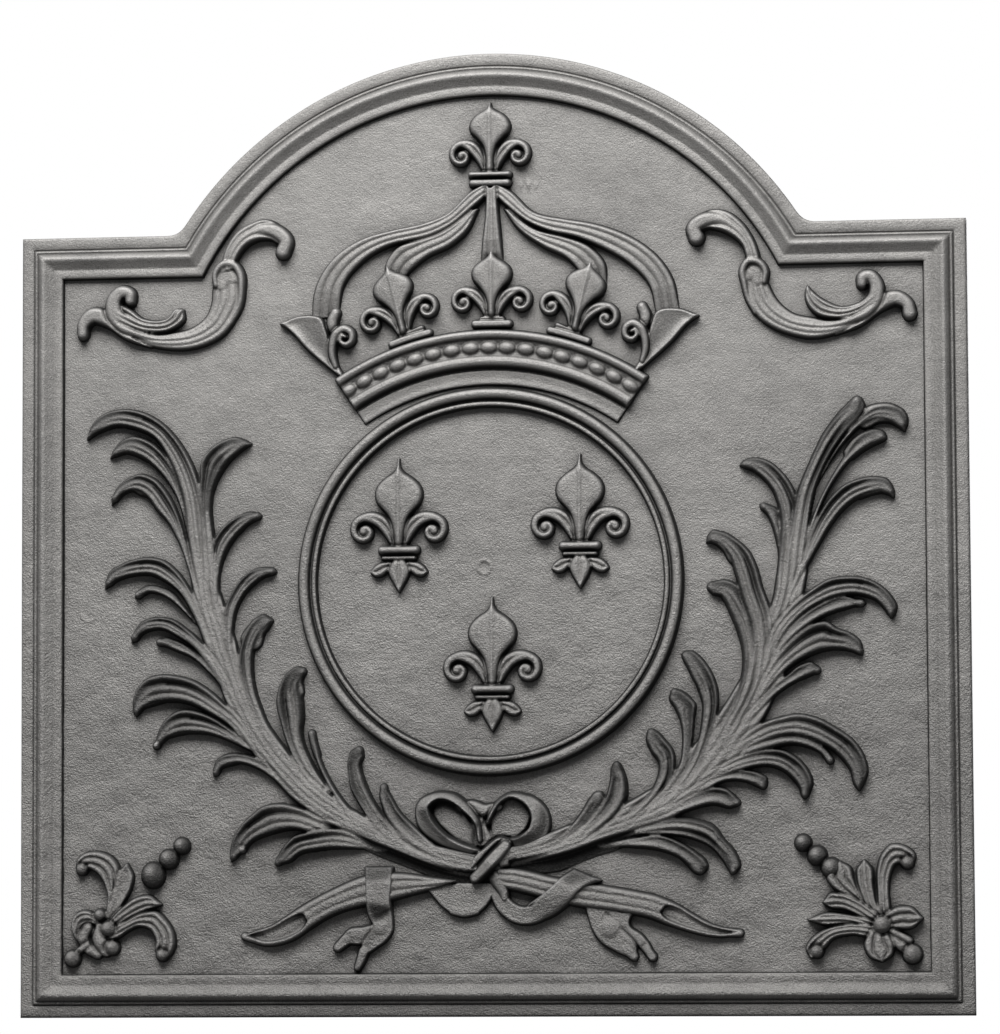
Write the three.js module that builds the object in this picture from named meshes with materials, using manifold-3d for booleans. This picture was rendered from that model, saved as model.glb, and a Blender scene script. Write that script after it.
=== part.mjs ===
// Cast-iron fireback: a flat plate with an arched top and a mitred moulding round its edge. The relief
// on its front is a crowned medallion with three fleurs-de-lis between two palm branches tied with a
// ribbon, a leaf scroll in each upper corner, and a spray with a string of husks in each lower one.
//
// Millimetres. Every piece is shaped lying on its back, with x across, y up the plate and z out of the
// field, as a founder's pattern is carved. It is stood up at the end: the front faces -Y, the base edge
// rests on z = 0, and the origin is the middle of the base and of the depth.

import * as THREE from 'three';
import { mergeVertices } from 'three/addons/utils/BufferGeometryUtils.js';
import Module from 'manifold-3d';

const wasm = await Module();
wasm.setup();

// Plate
const plateWidth = 600;
const shoulderHeight = 495;
const archRadius = 232.5;
const archCentreDrop = 121;
const archCentre = shoulderHeight - archCentreDrop;
const archFootFillet = 8;
const plateThickness = 13;
const archSteps = 32;
const filletSteps = 4;

// Border moulding, a little wider along the top. Profile: distance in from the outer edge, then height
// above the field, from the flat band over the crest and the cove to the fillet beside the field.
const mouldingWidth = 28;
const topSpread = 1.05;
const filletWidth = 7.5;
const filletRiser = 1.6;
const mouldingProfile = [
  [0, 2], [7.8, 2], [8.8, 4.6], [9.6, 4.8], [12, 9.9], [13.4, 11], [14.8, 10.4], [17.2, 6.8],
  [mouldingWidth - filletWidth, 4.3], [mouldingWidth - filletRiser, 3.9], [mouldingWidth, 0],
];

// Medallion ring, a roll with a thin bead inside it. Profile: distance in from its outer radius, height.
const medallionHeight = 272;
const medallionRadius = 122;
const medallionSteps = 48;
const ringProfile = [
  [0, 0], [0.8, 5.4], [2.6, 8.6], [4.4, 9.4], [6.4, 8.2], [8.6, 3.4], [10, 5.1], [11.4, 5], [12.6, 0],
];

// Fleurs-de-lis: places of their collars from the middle of the medallion, set in from its outer radius
const lisPlaces = {
  fleur_de_lis_left: [64.5 - medallionRadius, 18],
  fleur_de_lis_right: [medallionRadius - 65, 18],
  fleur_de_lis_lower: [1.3, 52 - medallionRadius],
};

// Crown. Its circlet is an arc that stands on the medallion ring. Profile: distance out from its lower
// edge, then height: a lower strip, a bead line, the channel of the beads, and the rim.
const crownAxis = 1.5;
const circletRadius = 178;
const circletWidth = 35;
const circletGap = 1.5;
const circletCentre = medallionHeight + medallionRadius + circletGap + circletWidth - circletRadius;
const circletHalfAngle = THREE.MathUtils.degToRad(33.2);
const circletSteps = 16;
const rimWidth = 5.8;
const circletProfile = [
  [0, 0], [1, 4.8], [8.2, 5.2], [10, 3.2], [12, 6.6], [17, 6.8], [18.6, 3.6],
  [circletWidth - rimWidth, 3.6], [circletWidth - rimWidth + 1, 7.2],
  [circletWidth - 1, 7], [circletWidth, 0],
];
const circletBead = { inset: 11.1, pitch: 11.4, halfLong: 4.6, halfWide: 3.6, rise: 7.4 };

// The flowers of the rim: angle round the circlet, distance out from it, and lean, in degrees and mm
const flowerPlaces = {
  crown_fleuron_left: { angle: -17.2, out: 11.6, lean: 13.5 },
  crown_fleuron_centre: { angle: 0.2, out: 6.1, lean: 0 },
  crown_fleuron_right: { angle: 16.7, out: 10, lean: -13.5 },
};
const finialHeight = 100;

// Relief heights above the field. The knot stands highest.
const reliefDepth = 13;
const palmRise = 9;
const stemRise = 6.5;
const ribbonThickness = 2.7;
const ribbonRise = stemRise + ribbonThickness;
const lisRise = 8;
const crownRise = 9;
const scrollRise = 8.5;
const sprayRise = 8;
const huskRise = 7;

// From the foot of the medallion ring down to the knot, where the stems cross
const knotDrop = 55;

// Gap between pieces that meet side by side
const clearance = 0.3;

// Cross-sections of carved strips: across from edge to edge, then share of the rise
const roll = [[-1, 0], [-0.6, 0.85], [0.6, 0.85], [1, 0]];
const grooved = [[-1, 0], [-0.6, 1], [0, 0.7], [0.6, 1], [1, 0]];
const ribbed = [[-1, 0], [-0.8, 0.8], [-0.45, 1], [-0.2, 0.75], [0.2, 0.75], [0.45, 1], [0.8, 0.8], [1, 0]];
const keeled = [[-1, 0], [-0.8, 0.5], [0, 1], [0.8, 0.5], [1, 0]];
const slab = [[-1, 0], [-0.9, 0.85], [0.9, 0.85], [1, 0]];
const knotted = [[-1, 0], [-0.8, 0.7], [-0.3, 1], [0.3, 1], [0.8, 0.7], [1, 0]];

// A half egg: share of its radius, then of its rise
const eggProfile = [[0, 0], [1, 0], [0.8, 0.65], [0, 1]];
const eggSides = 7;

// Cutters reach this far above and below the field
const tunnel = [[-1, -1], [-1, 1], [1, 1], [1, -1]];
const tunnelDepth = 30;

// Degrees between the points of a volute, most steps along a palm leaf, and sides of a round cutter
const voluteStep = 48;
const leafSteps = 5;
const roomSides = 96;

// ---- Solids ----

function solidFrom(geometry) {
  geometry.deleteAttribute('normal');
  geometry.deleteAttribute('uv');
  const merged = mergeVertices(geometry, 1e-5);
  const index = merged.index.array;
  const kept = [];
  for (let i = 0; i < index.length; i += 3) {
    const [a, b, c] = [index[i], index[i + 1], index[i + 2]];
    if (a !== b && b !== c && c !== a) kept.push(a, b, c);
  }
  return new wasm.Manifold(new wasm.Mesh({
    numProp: 3,
    vertProperties: merged.attributes.position.array,
    triVerts: new Uint32Array(kept),
  }));
}

function solidFromFaces(points, faces) {
  const geometry = new THREE.BufferGeometry();
  geometry.setFromPoints(points);
  geometry.setIndex(faces);
  return solidFrom(geometry);
}

function join(solids) {
  return solids.reduce((whole, solid) => whole.add(solid));
}

// A strip lofted through rows of points, closed by its flat seat and its two ends
function strip(rows) {
  const across = rows[0].length;
  const last = rows.length - 1;
  const faces = [];
  const quad = (a, b, c, d) => faces.push(a, b, c, a, c, d);
  for (let row = 0; row < last; row++) {
    const near = row * across;
    const far = near + across;
    for (let i = 0; i < across - 1; i++) quad(near + i, far + i, far + i + 1, near + i + 1);
    quad(near, near + across - 1, far + across - 1, far);
  }
  for (let i = 1; i < across - 1; i++) {
    faces.push(0, i, i + 1);
    faces.push(last * across, last * across + i + 1, last * across + i);
  }
  return solidFromFaces(rows.flat(), faces);
}

// A carved strip along a spine of [x, y, half width], lower towards its tip
function carve({ spine, rise, section = grooved, steps = spine.length - 1, tipDrop = 0.35, grow = 0 }) {
  const points = spine.map(([x, y, half]) => new THREE.Vector3(x, y, half + grow));
  const curve = new THREE.CatmullRomCurve3(points);
  const rows = [];
  for (let step = 0; step <= steps; step++) {
    const t = step / steps;
    const centre = curve.getPoint(t);
    const along = curve.getTangent(t).setZ(0).normalize();
    const height = rise * (1 - tipDrop * t * t);
    rows.push(section.map(([across, share]) => new THREE.Vector3(
      centre.x - along.y * across * centre.z,
      centre.y + along.x * across * centre.z,
      share * height,
    )));
  }
  return strip(rows);
}

function bead({ centre: [x, y], halfLong, halfWide, rise, turn = 0, grow = 0 }) {
  const geometry = new THREE.LatheGeometry(eggProfile.map(([r, h]) => new THREE.Vector2(r, h)), eggSides);
  geometry.applyMatrix4(quarterTurn);
  geometry.scale(halfLong + grow, halfWide + grow, rise);
  geometry.rotateZ(turn);
  geometry.translate(x, y, 0);
  return solidFrom(geometry);
}

// An ornament is a list of strips, which have a spine, and of beads, which have a centre
const solidOf = (ornament) => join(ornament.map((piece) => (piece.spine ? carve(piece) : bead(piece))));

// The space that an ornament takes up, a clearance wider, for cutting its neighbours
function roomOf(ornament, depth = tunnelDepth) {
  return join(ornament.map((piece) => (piece.spine
    ? carve({ ...piece, section: tunnel, rise: depth, tipDrop: 0, grow: clearance })
    : bead({ ...piece, rise: depth, grow: clearance }))));
}

// The same ornament leaned by an angle in degrees and moved
function moved(ornament, [x, y], lean = 0) {
  const turn = THREE.MathUtils.degToRad(lean);
  const shift = ([px, py, ...rest]) => [
    x + px * Math.cos(turn) - py * Math.sin(turn),
    y + px * Math.sin(turn) + py * Math.cos(turn),
    ...rest,
  ];
  return ornament.map((piece) => (piece.spine
    ? { ...piece, spine: piece.spine.map(shift) }
    : { ...piece, centre: shift(piece.centre) }));
}

// The same ornament seen in a mirror, left for right
function mirrored(ornament) {
  const flip = ([x, ...rest]) => [-x, ...rest];
  return ornament.map((piece) => (piece.spine
    ? { ...piece, spine: piece.spine.map(flip) }
    : { ...piece, centre: flip(piece.centre) }));
}

// A strip that winds in to its eye, with a ball in the middle. Angles in degrees.
function volute({ centre: [x, y], from, to, startAngle, sweep, half, rise }) {
  const steps = Math.ceil(Math.abs(sweep) / voluteStep);
  const spine = [];
  for (let i = 0; i <= steps; i++) {
    const angle = THREE.MathUtils.degToRad(startAngle + sweep * i / steps);
    const radius = from + (to - from) * i / steps;
    spine.push([x + radius * Math.cos(angle), y + radius * Math.sin(angle), half]);
  }
  const ball = to + half * 0.6;
  return [
    { spine, rise, section: roll, steps, tipDrop: 0.1 },
    { centre: [x, y], halfLong: ball, halfWide: ball, rise: rise * 1.1 },
  ];
}

// Maps (x, y, z) to (x, -z, y) exactly: it stands a piece up, and lays a revolved one down
const quarterTurn = new THREE.Matrix4().set(1, 0, 0, 0, 0, 0, -1, 0, 0, 1, 0, 0, 0, 0, 0, 1);

// ---- Plate and mouldings ----

// The outline at a distance in from the edge. Outer corners and arch feet stay mitred.
function outline(inset, fillet = 0) {
  const half = plateWidth / 2 - inset;
  const top = shoulderHeight - inset * topSpread;
  const radius = archRadius - inset * topSpread;
  const centreHeight = top + fillet - archCentre;
  const footX = Math.sqrt((radius + fillet) ** 2 - centreHeight ** 2);
  const footAngle = Math.atan2(centreHeight, footX);
  const points = [];
  for (let i = 0; i <= filletSteps; i++) {
    const angle = -Math.PI / 2 - (Math.PI / 2 - footAngle) * i / filletSteps;
    points.push([footX + fillet * Math.cos(angle), top + fillet + fillet * Math.sin(angle)]);
  }
  for (let i = 1; i < archSteps; i++) {
    const angle = footAngle + (Math.PI - 2 * footAngle) * i / archSteps;
    points.push([radius * Math.cos(angle), archCentre + radius * Math.sin(angle)]);
  }
  const foot = points.slice(0, filletSteps + 1).reverse();
  foot.forEach(([x, y]) => points.push([-x, y]));
  return [[-half, inset], [half, inset], [half, top], ...points, [-half, top]];
}

// A straight-sided solid between two heights
function prism(points, low, high) {
  const shape = new THREE.Shape(points.map(([x, y]) => new THREE.Vector2(x, y)));
  const geometry = new THREE.ExtrudeGeometry(shape, { depth: high - low, bevelEnabled: false });
  geometry.translate(0, 0, low);
  return solidFrom(geometry);
}

function plate() {
  return prism(outline(0, archFootFillet), -plateThickness, 0);
}

function borderMoulding() {
  const seat = [[0, 0], ...mouldingProfile];
  const rings = seat.map(([inset, height]) => {
    const fillet = inset === 0 ? archFootFillet : 0;
    return outline(inset, fillet).map(([x, y]) => new THREE.Vector3(x, y, height));
  });
  const around = rings[0].length;
  const faces = [];
  for (let ring = 0; ring < rings.length; ring++) {
    const next = (ring + 1) % rings.length;
    for (let i = 0; i < around; i++) {
      const [a, b] = [ring * around + i, ring * around + (i + 1) % around];
      const [c, d] = [next * around + (i + 1) % around, next * around + i];
      faces.push(a, b, c, a, c, d);
    }
  }
  return solidFromFaces(rings.flat(), faces);
}

// What fits inside the moulding
function fieldRoom() {
  return prism(outline(mouldingWidth + clearance), -tunnelDepth, tunnelDepth);
}

// A round space, a clearance wider, which what stands round it is cut back from
function roundRoom([x, y], radius) {
  const rim = new THREE.EllipseCurve(x, y, radius + clearance, radius + clearance).getPoints(roomSides);
  return prism(rim.slice(1).map((point) => [point.x, point.y]), -tunnelDepth, tunnelDepth);
}

function medallionRing() {
  const profile = ringProfile.map(([inset, height]) => new THREE.Vector2(medallionRadius - inset, height));
  profile.push(profile[0].clone());
  const geometry = new THREE.LatheGeometry(profile, medallionSteps);
  geometry.applyMatrix4(quarterTurn);
  return solidFrom(geometry);
}

// ---- Fleurs-de-lis ----

// The three petals above the collar. The bulb is the middle petal's widest place.
function lisPetals({ tip, bulb, bulbHalf, neckHalf, eye, curl, petalHalf }) {
  const upper = tip - bulb;
  const middle = [
    [0, 0, neckHalf * 1.3], [0, bulb * 0.3, neckHalf], [0, bulb * 0.52, neckHalf * 1.15],
    [0, bulb * 0.66, bulbHalf * 0.5], [0, bulb * 0.8, bulbHalf * 0.87], [0, bulb, bulbHalf],
    [0, bulb + upper * 0.36, bulbHalf * 0.8], [0, bulb + upper * 0.64, bulbHalf * 0.36], [0, tip, 0.8],
  ];
  const side = volute({
    centre: eye, from: curl, to: curl * 0.21, startAngle: 188, sweep: -235, half: petalHalf, rise: lisRise,
  });
  return [{ spine: middle, rise: lisRise, section: keeled, tipDrop: 0.3 }, ...side, ...mirrored(side)];
}

// A short roll across a stem
function bar(half, y, thick, rise) {
  const spine = [[-half, y, thick * 0.9], [0, y + 0.5, thick], [half, y, thick * 0.9]];
  return { spine, rise, section: roll, tipDrop: 0 };
}

function fleurDeLis() {
  const petals = {
    tip: 60, bulb: 38, bulbHalf: 15.2, neckHalf: 4, eye: [22.4, 11.8], curl: 16.6, petalHalf: 2.9,
  };
  const drop = [[0, 2, 4], [0, -4, 5.4], [0, -9.5, 7.5], [0, -15, 6.4], [0, -20, 3.4], [0, -24.5, 0.9]];
  const leafletSpine = [[5, -6, 2.6], [12, -9, 2.8], [18.8, -11, 1.4]];
  const leaflet = [{ spine: leafletSpine, rise: lisRise * 0.7, section: roll }];
  return [
    ...lisPetals(petals),
    bar(13.8, 1.8, 3.2, lisRise * 1.1),
    bar(11.5, -3.6, 1.9, lisRise * 0.85),
    { spine: drop, rise: lisRise, section: keeled },
    ...leaflet,
    ...mirrored(leaflet),
  ];
}

// A smaller flower on a foot bar: the crown's finial and the flowers of its rim
function fleuron(footHalf) {
  const petals = {
    tip: 44, bulb: 30, bulbHalf: 13.2, neckHalf: 3.7, eye: [19, 11.5], curl: 14, petalHalf: 2.6,
  };
  return [...lisPetals(petals), bar(footHalf, -0.8, 2.2, lisRise)];
}

// The same flower with the block that seats it on the rim. What reaches past the rim is cut off later.
function rimFlower({ angle, out, lean }) {
  const seat = [[0, -15, 13], [0, -8, 12.6], [0, 0, 11.4]];
  const flower = [...fleuron(12.5), { spine: seat, rise: lisRise * 0.6, section: slab, tipDrop: 0 }];
  return moved(flower, circletPoint(THREE.MathUtils.degToRad(angle), circletRadius + out), lean);
}

// ---- Crown ----

function circletPoint(angle, radius) {
  return [crownAxis + radius * Math.sin(angle), circletCentre + radius * Math.cos(angle)];
}

function crownCirclet() {
  const rows = [];
  for (let step = 0; step <= circletSteps; step++) {
    const angle = circletHalfAngle * (2 * step / circletSteps - 1);
    rows.push(circletProfile.map(([out, height]) => {
      const [x, y] = circletPoint(angle, circletRadius - circletWidth + out);
      return new THREE.Vector3(x, y, height);
    }));
  }
  const { inset, pitch, halfLong, halfWide, rise } = circletBead;
  const beadRadius = circletRadius - inset;
  const count = 1 + Math.floor((2 * circletHalfAngle * beadRadius - 2 * halfLong) / pitch);
  const beads = [];
  for (let i = 0; i < count; i++) {
    const angle = (i - (count - 1) / 2) * pitch / beadRadius;
    beads.push(bead({ centre: circletPoint(angle, beadRadius), halfLong, halfWide, rise, turn: -angle }));
  }
  return join([strip(rows), ...beads]);
}

// The arches' bands, measured from the middle of the rim's top
const archBands = [
  [[-8.5, 80.5, 4.5], [-27.5, 68, 5], [-46.5, 63, 5.4], [-65.5, 59.5, 5.8], [-86.5, 49.5, 7.4],
    [-101, 34.5, 8.4], [-106, 19.5, 8.4]],
  [[-6.5, 76.5, 4], [-18.5, 64.5, 5], [-33.5, 55.5, 6.5], [-49.5, 48, 8.5], [-61.5, 39.5, 9.5]],
  [[0.9, 86.5, 3.4], [0.8, 69.5, 5], [0.7, 51.5, 6.6]],
  [[6.5, 76.5, 4], [18.5, 65.5, 5], [34.5, 56.5, 6.5], [51.5, 49.5, 8.5], [64.5, 38.5, 9.5]],
  [[8.5, 80.5, 4.5], [27.5, 68, 5], [46.5, 64, 5.4], [64.5, 60.5, 5.8], [86.5, 50, 7.6],
    [102.5, 34.5, 8.4], [110.5, 19.5, 8]],
];
const rimTop = circletPoint(0, circletRadius);
const archStrips = archBands.map((spine) => {
  const steps = spine.length + 1;
  return { spine, rise: crownRise, section: ribbed, steps, tipDrop: 0.2 };
});
const crownArches = moved(archStrips, rimTop);

// The finial: a flower on a collar of two rolls
const finial = moved([
  ...fleuron(10),
  bar(12.4, -2.4, 2.6, crownRise),
  bar(11.6, -7.4, 2.7, crownRise),
], [rimTop[0], rimTop[1] + finialHeight]);

// Half a flower at each end of the rim, measured from there
const halfFleuron = [
  { spine: [[-1, 12.6, 3], [-7, 20.6, 6.5], [-14, 28.6, 7.5], [-23, 34.1, 5], [-35, 35.2, 1.2]],
    rise: crownRise, section: keeled },
  { spine: [[0, 10.6, 2.6], [-1.5, 20.6, 3.4], [-1, 32.6, 5], [-0.4, 44.1, 2]],
    rise: crownRise * 0.9, section: roll },
  { centre: [5, 26.1], halfLong: 6.5, halfWide: 7, rise: crownRise * 0.9 },
];
const halfFleuronLeft = moved(halfFleuron, circletPoint(-circletHalfAngle, circletRadius));
const halfFleuronRight = moved(mirrored(halfFleuron), circletPoint(circletHalfAngle, circletRadius));

// ---- Palm branches, measured from the knot ----

const knot = [0, medallionHeight - medallionRadius - knotDrop];

const palmLeft = {
  stem: [[-13, 1, 7.5], [-40, 7.5, 8.5], [-68, 18, 8.5], [-94, 33, 8], [-120, 54, 7.5], [-139, 77, 7],
    [-153, 103, 6.5], [-165, 131, 6.5], [-176, 157, 6.5], [-184, 185, 8], [-186, 210, 9], [-184, 230, 6]],
  leaves: [
    [[-186, 227, 6], [-197, 255, 7.5], [-214, 276, 6.2], [-236, 284, 5.8], [-248, 281, 5],
      [-257, 272, 2.2]],
    [[-181, 223, 5], [-178.5, 247, 6.5], [-171, 260, 6.5], [-161, 265.5, 4.8], [-152.5, 265, 2]],
    [[-194, 223, 6], [-204, 247, 6.5], [-216, 261, 6.8], [-228, 266, 5.8], [-238, 263, 3.5],
      [-242.5, 259, 2]],
    [[-190, 189, 6], [-199, 215, 6.5], [-209, 231, 6.8], [-217, 240, 6.2], [-228, 243, 4.6],
      [-240, 231, 2]],
    [[-184, 149, 5], [-193, 169, 6], [-204, 184, 6], [-216, 189, 6], [-229, 188, 5], [-240, 183, 4],
      [-245.5, 176, 2]],
    [[-186, 151, 4], [-197, 166, 5], [-208, 173, 4.2], [-218, 174.5, 3], [-226, 170, 1.8]],
    [[-173, 123, 5], [-186, 139, 6], [-199, 149, 6], [-211, 153, 4.3], [-221, 150.5, 3.6],
      [-228.5, 142, 2]],
    [[-170, 117, 4], [-182, 130, 5], [-195, 138, 4.5], [-205, 141, 3.5], [-212.5, 141, 1.8]],
    [[-160, 87, 6], [-176, 101, 7.5], [-191, 109, 8], [-205, 111.5, 8.5], [-217, 110, 7.5],
      [-225, 102, 4], [-226, 95, 2.5]],
    [[-146, 68, 5], [-162, 80, 6], [-177, 87.5, 6.5], [-190, 90.5, 7.2], [-201, 89, 6.5],
      [-209, 82, 4], [-212.5, 75, 2.5]],
    [[-116, 41, 5], [-133, 55, 5], [-148, 64, 4], [-161, 67, 3.4], [-171, 64, 2.8], [-175.5, 56.5, 1.8]],
    [[-98, 17, 6], [-115, 26, 7], [-131, 29.5, 7.5], [-146, 26, 7.5], [-158, 17, 5.5], [-165, 6, 3]],
    [[-80, 12, 6], [-98, 16.5, 7], [-113, 16, 6.5], [-125, 11, 5.5], [-133, 1, 3.2]],
    [[-177, 181, 5], [-172.5, 198, 5.5], [-163.5, 211, 5.8], [-154.5, 218, 4.4], [-146, 220.5, 1.8]],
    [[-169, 145, 5], [-164.5, 162, 5.5], [-156, 175, 5.5], [-147, 183, 4.4], [-137, 185.5, 2]],
    [[-148, 87, 7], [-154, 109, 6.5], [-155, 128, 5.5], [-151.5, 143, 5.2], [-145, 152, 4.2],
      [-138.5, 155, 2]],
    [[-118, 63, 6], [-125.5, 83, 6.8], [-127.5, 100, 8], [-127.5, 113, 6], [-122.5, 120.5, 4],
      [-118.5, 122, 2]],
    [[-90, 31, 5], [-101, 46, 5.5], [-110, 63, 5.5], [-114, 75, 4.2], [-114.5, 84, 2.2]],
    [[-52, 8, 5], [-66, 23, 6.5], [-77, 39, 7], [-84, 54, 5.8], [-86, 64, 4.8], [-83, 71, 3]],
    [[-20, 3, 5], [-40, 12, 6.5], [-54, 24, 6.5], [-63, 36, 5], [-68, 48, 2.5]],
  ],
};

const palmRight = {
  stem: [[15, 4, 6.5], [33, 8.5, 8], [58, 17, 9], [85, 26, 8], [108, 39, 8], [128, 56, 7.5], [145, 76, 7],
    [160, 99, 7], [172, 123, 6.5], [180, 147, 6.5], [187, 173, 7.5], [191, 200, 9], [194, 223, 8]],
  leaves: [
    [[196, 223, 7], [205, 246, 6.5], [214, 264, 6.5], [224, 276.5, 5.8], [232, 285, 3]],
    [[203, 223, 6], [210, 243, 6], [221, 260, 5.5], [233, 273, 5], [246, 278, 4.8], [256, 276.5, 4.2],
      [261, 269.5, 2]],
    [[206, 217, 5], [215, 236, 5.5], [226, 251, 5.5], [237, 261.5, 5], [247.5, 264.5, 2.4]],
    [[198, 185, 6], [206, 203, 7], [217, 219, 8], [228, 229.5, 7.5], [240, 233.5, 5.5], [249, 232, 4],
      [252.5, 226.5, 2]],
    [[208, 205, 4], [222, 216.5, 4], [232, 219.5, 2]],
    [[187, 210, 6], [186, 225, 6.3], [180, 238, 6], [170.5, 246, 4.5], [160, 248, 2.2]],
    [[184, 185, 4], [182.5, 202, 4.5], [177.5, 215, 3.6], [171, 222, 1.8]],
    [[175, 151, 5], [168, 167, 6], [160.5, 183, 6.5], [152, 195, 5.5], [143, 202, 4.2], [137, 201.5, 2.5]],
    [[148, 81, 6], [158, 101, 6.5], [163.5, 123, 6.2], [162, 143, 6.5], [155, 159, 6],
      [146, 169.5, 4], [138.5, 170.5, 2.2]],
    [[112, 47, 6], [124, 63, 6.5], [132, 80, 6.2], [136.5, 98, 5.2], [134.5, 113, 5], [128, 124, 4.6],
      [122, 129, 2.6]],
    [[108, 53, 5], [118, 70, 5.5], [123.5, 85, 5.2], [123.5, 96, 4.8], [115.5, 103.5, 2.8]],
    [[86, 25, 5], [99, 40, 6], [108, 52, 6.2], [110.5, 63, 5.2], [107, 73, 5], [101, 80, 3.2]],
    [[58, 15, 5], [70, 26, 6], [78.5, 39, 6], [80.5, 50, 4.8], [79, 59, 2.8]],
    [[30, 10, 5], [46, 18, 6], [58, 28, 6], [66, 39, 4.2], [69, 42.5, 2.2]],
    [[184, 149, 5], [197, 159, 6], [210, 167, 6.5], [223, 170.5, 5.6], [236, 170, 5], [246, 164, 4.2],
      [251.5, 154, 2.2]],
    [[190, 148, 5], [204, 156, 5], [217, 161, 4.4], [227, 162.5, 3], [234.5, 160.5, 1.6]],
    [[180, 121, 5], [192, 132, 7], [205, 138.5, 8], [217, 137.5, 6], [227, 134, 3.8], [232.5, 129, 2]],
    [[168, 97, 5], [180, 109, 5.2], [191, 116.5, 5], [200, 119.5, 3.8], [205.5, 118.5, 1.8]],
    [[148, 69, 6], [163, 78, 7], [179, 83, 7], [195, 83.5, 7.5], [211, 77.5, 7.5], [223, 68, 6.5],
      [230, 48, 2.4]],
    [[158, 68, 5], [174, 74.5, 5], [189, 77, 5], [203, 73, 4.5], [213, 63, 2]],
    [[135, 51, 5], [150, 59, 5.5], [164, 64, 5.6], [178, 64.5, 5.2], [189, 59.5, 5], [195.5, 51, 4.4],
      [197, 41.5, 2.2]],
    [[128, 47, 4], [143, 52.5, 4], [156, 53.5, 3.6], [166, 52, 3], [172, 47.5, 1.8]],
    [[118, 35, 5], [131, 40, 5.2], [142, 41.8, 6], [150, 39.5, 4.5], [155.5, 36.5, 2]],
    [[78, 18, 5], [98, 22, 4.5], [116, 24, 4.6], [131, 21, 5.6], [142, 13, 5.6], [149.5, 3, 4],
      [152.5, -4, 3]],
    [[56, 9, 6], [78, 14, 6], [98, 13.5, 5], [113, 10, 5], [125, 3.5, 4.8], [131.5, -2, 3.4]],
  ],
};

function palmBranch({ stem, leaves }) {
  const blades = leaves.map((spine) => {
    const steps = Math.min(spine.length - 1, leafSteps);
    return { spine, rise: palmRise * 0.9, steps };
  });
  return moved([{ spine: stem, rise: palmRise, tipDrop: 0 }, ...blades], knot);
}

// The cut ends of the stalks, which cross under the knot
const stalk = (spine) => moved([{ spine, rise: stemRise, section: ribbed, tipDrop: 0.3 }], knot);
const stalkLeft = stalk([[-12, -11.5, 4.5], [-36, -13, 5.5], [-60, -14.5, 7], [-80, -16, 8.3],
  [-100, -22.5, 8.8], [-116, -32, 8.8], [-128, -39.5, 8.2], [-142, -44.7, 5.6], [-156, -44.7, 1.6]]);
const stalkRight = stalk([[14, -10, 7], [40, -15.5, 7.3], [65, -20, 7.4], [90, -24.5, 7.4], [108, -29, 8.2],
  [122, -35, 7.6], [138, -41, 4.8], [154, -43, 1.6]]);

// ---- Ribbon, measured from the knot ----

const bowLoops = [
  [[-8, 11, 5], [-26, 16, 5], [-40, 26, 5.6], [-41.5, 37.5, 5], [-31, 42, 3.8], [-18, 38, 4],
    [-8, 28, 4.5]],
  [[10, 15, 5], [24, 18, 5.6], [30, 27, 6.2], [25, 37, 5], [14, 41.5, 3.6], [5, 34, 3.4], [1, 24, 3.6]],
];
const ribbonBow = moved([
  ...bowLoops.map((spine) => ({ spine, rise: ribbonRise, section: roll, tipDrop: 0, steps: 10 })),
  { spine: [[-5, 17, 6], [-8, 27, 6], [-9, 36, 3.6]], rise: ribbonRise * 0.8, section: roll },
  { spine: [[-8, -7, 4], [-1, 0, 6.5], [6, 8, 7], [11, 14, 5]],
    rise: reliefDepth, section: knotted, tipDrop: 0 },
], knot);

// The end that hangs over the left stalk, with its tongue
const ribbonEndLeft = moved([
  { spine: [[-70, 0, 8.6], [-71.5, -13, 7.6], [-72, -25, 7], [-69.5, -36, 8], [-73, -46, 6.5],
    [-80, -54.5, 3.4], [-84.5, -64, 1.4]], rise: ribbonRise, section: slab, tipDrop: 0.3 },
  { spine: [[-70, -38, 6], [-80, -42, 5], [-90, -45.5, 4], [-98, -51.5, 1.8]],
    rise: ribbonRise * 0.8, section: slab },
], knot);

// The loop that crosses the right stalk, its forked end, and the fold under the knot
const ribbonEndRight = moved([
  { spine: [[64, -7, 5], [52, -12.5, 9], [38, -23, 7.5], [26, -31.5, 5.5], [13, -29, 5], [7, -20, 4]],
    rise: ribbonRise, section: slab, tipDrop: 0.1 },
], knot);
const ribbonTailRight = moved([
  { spine: [[72, -33, 11], [75.5, -41, 9.4], [83, -49, 7], [90, -53.5, 5]],
    rise: ribbonRise * 0.8, section: slab },
  { spine: [[84, -49, 4], [88.5, -60, 1.6]], rise: ribbonRise * 0.7, section: slab },
  { spine: [[88, -48, 4.5], [97, -54, 3.6], [101.5, -61, 1.6]], rise: ribbonRise * 0.7, section: slab },
], knot);
const ribbonFold = moved([
  { spine: [[-37, -19, 1.2], [-29, -22.5, 5], [-18, -24.5, 7.6], [-7, -23, 5], [0, -19, 1.2]],
    rise: stemRise * 0.6, section: slab },
], knot);

// ---- Upper scrolls, measured from the foot of the arch on the moulding's inner edge ----

const innerTop = shoulderHeight - mouldingWidth * topSpread;
const innerArch = archRadius - mouldingWidth * topSpread;
const innerFoot = Math.sqrt(innerArch ** 2 - (innerTop - archCentre) ** 2);

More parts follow.
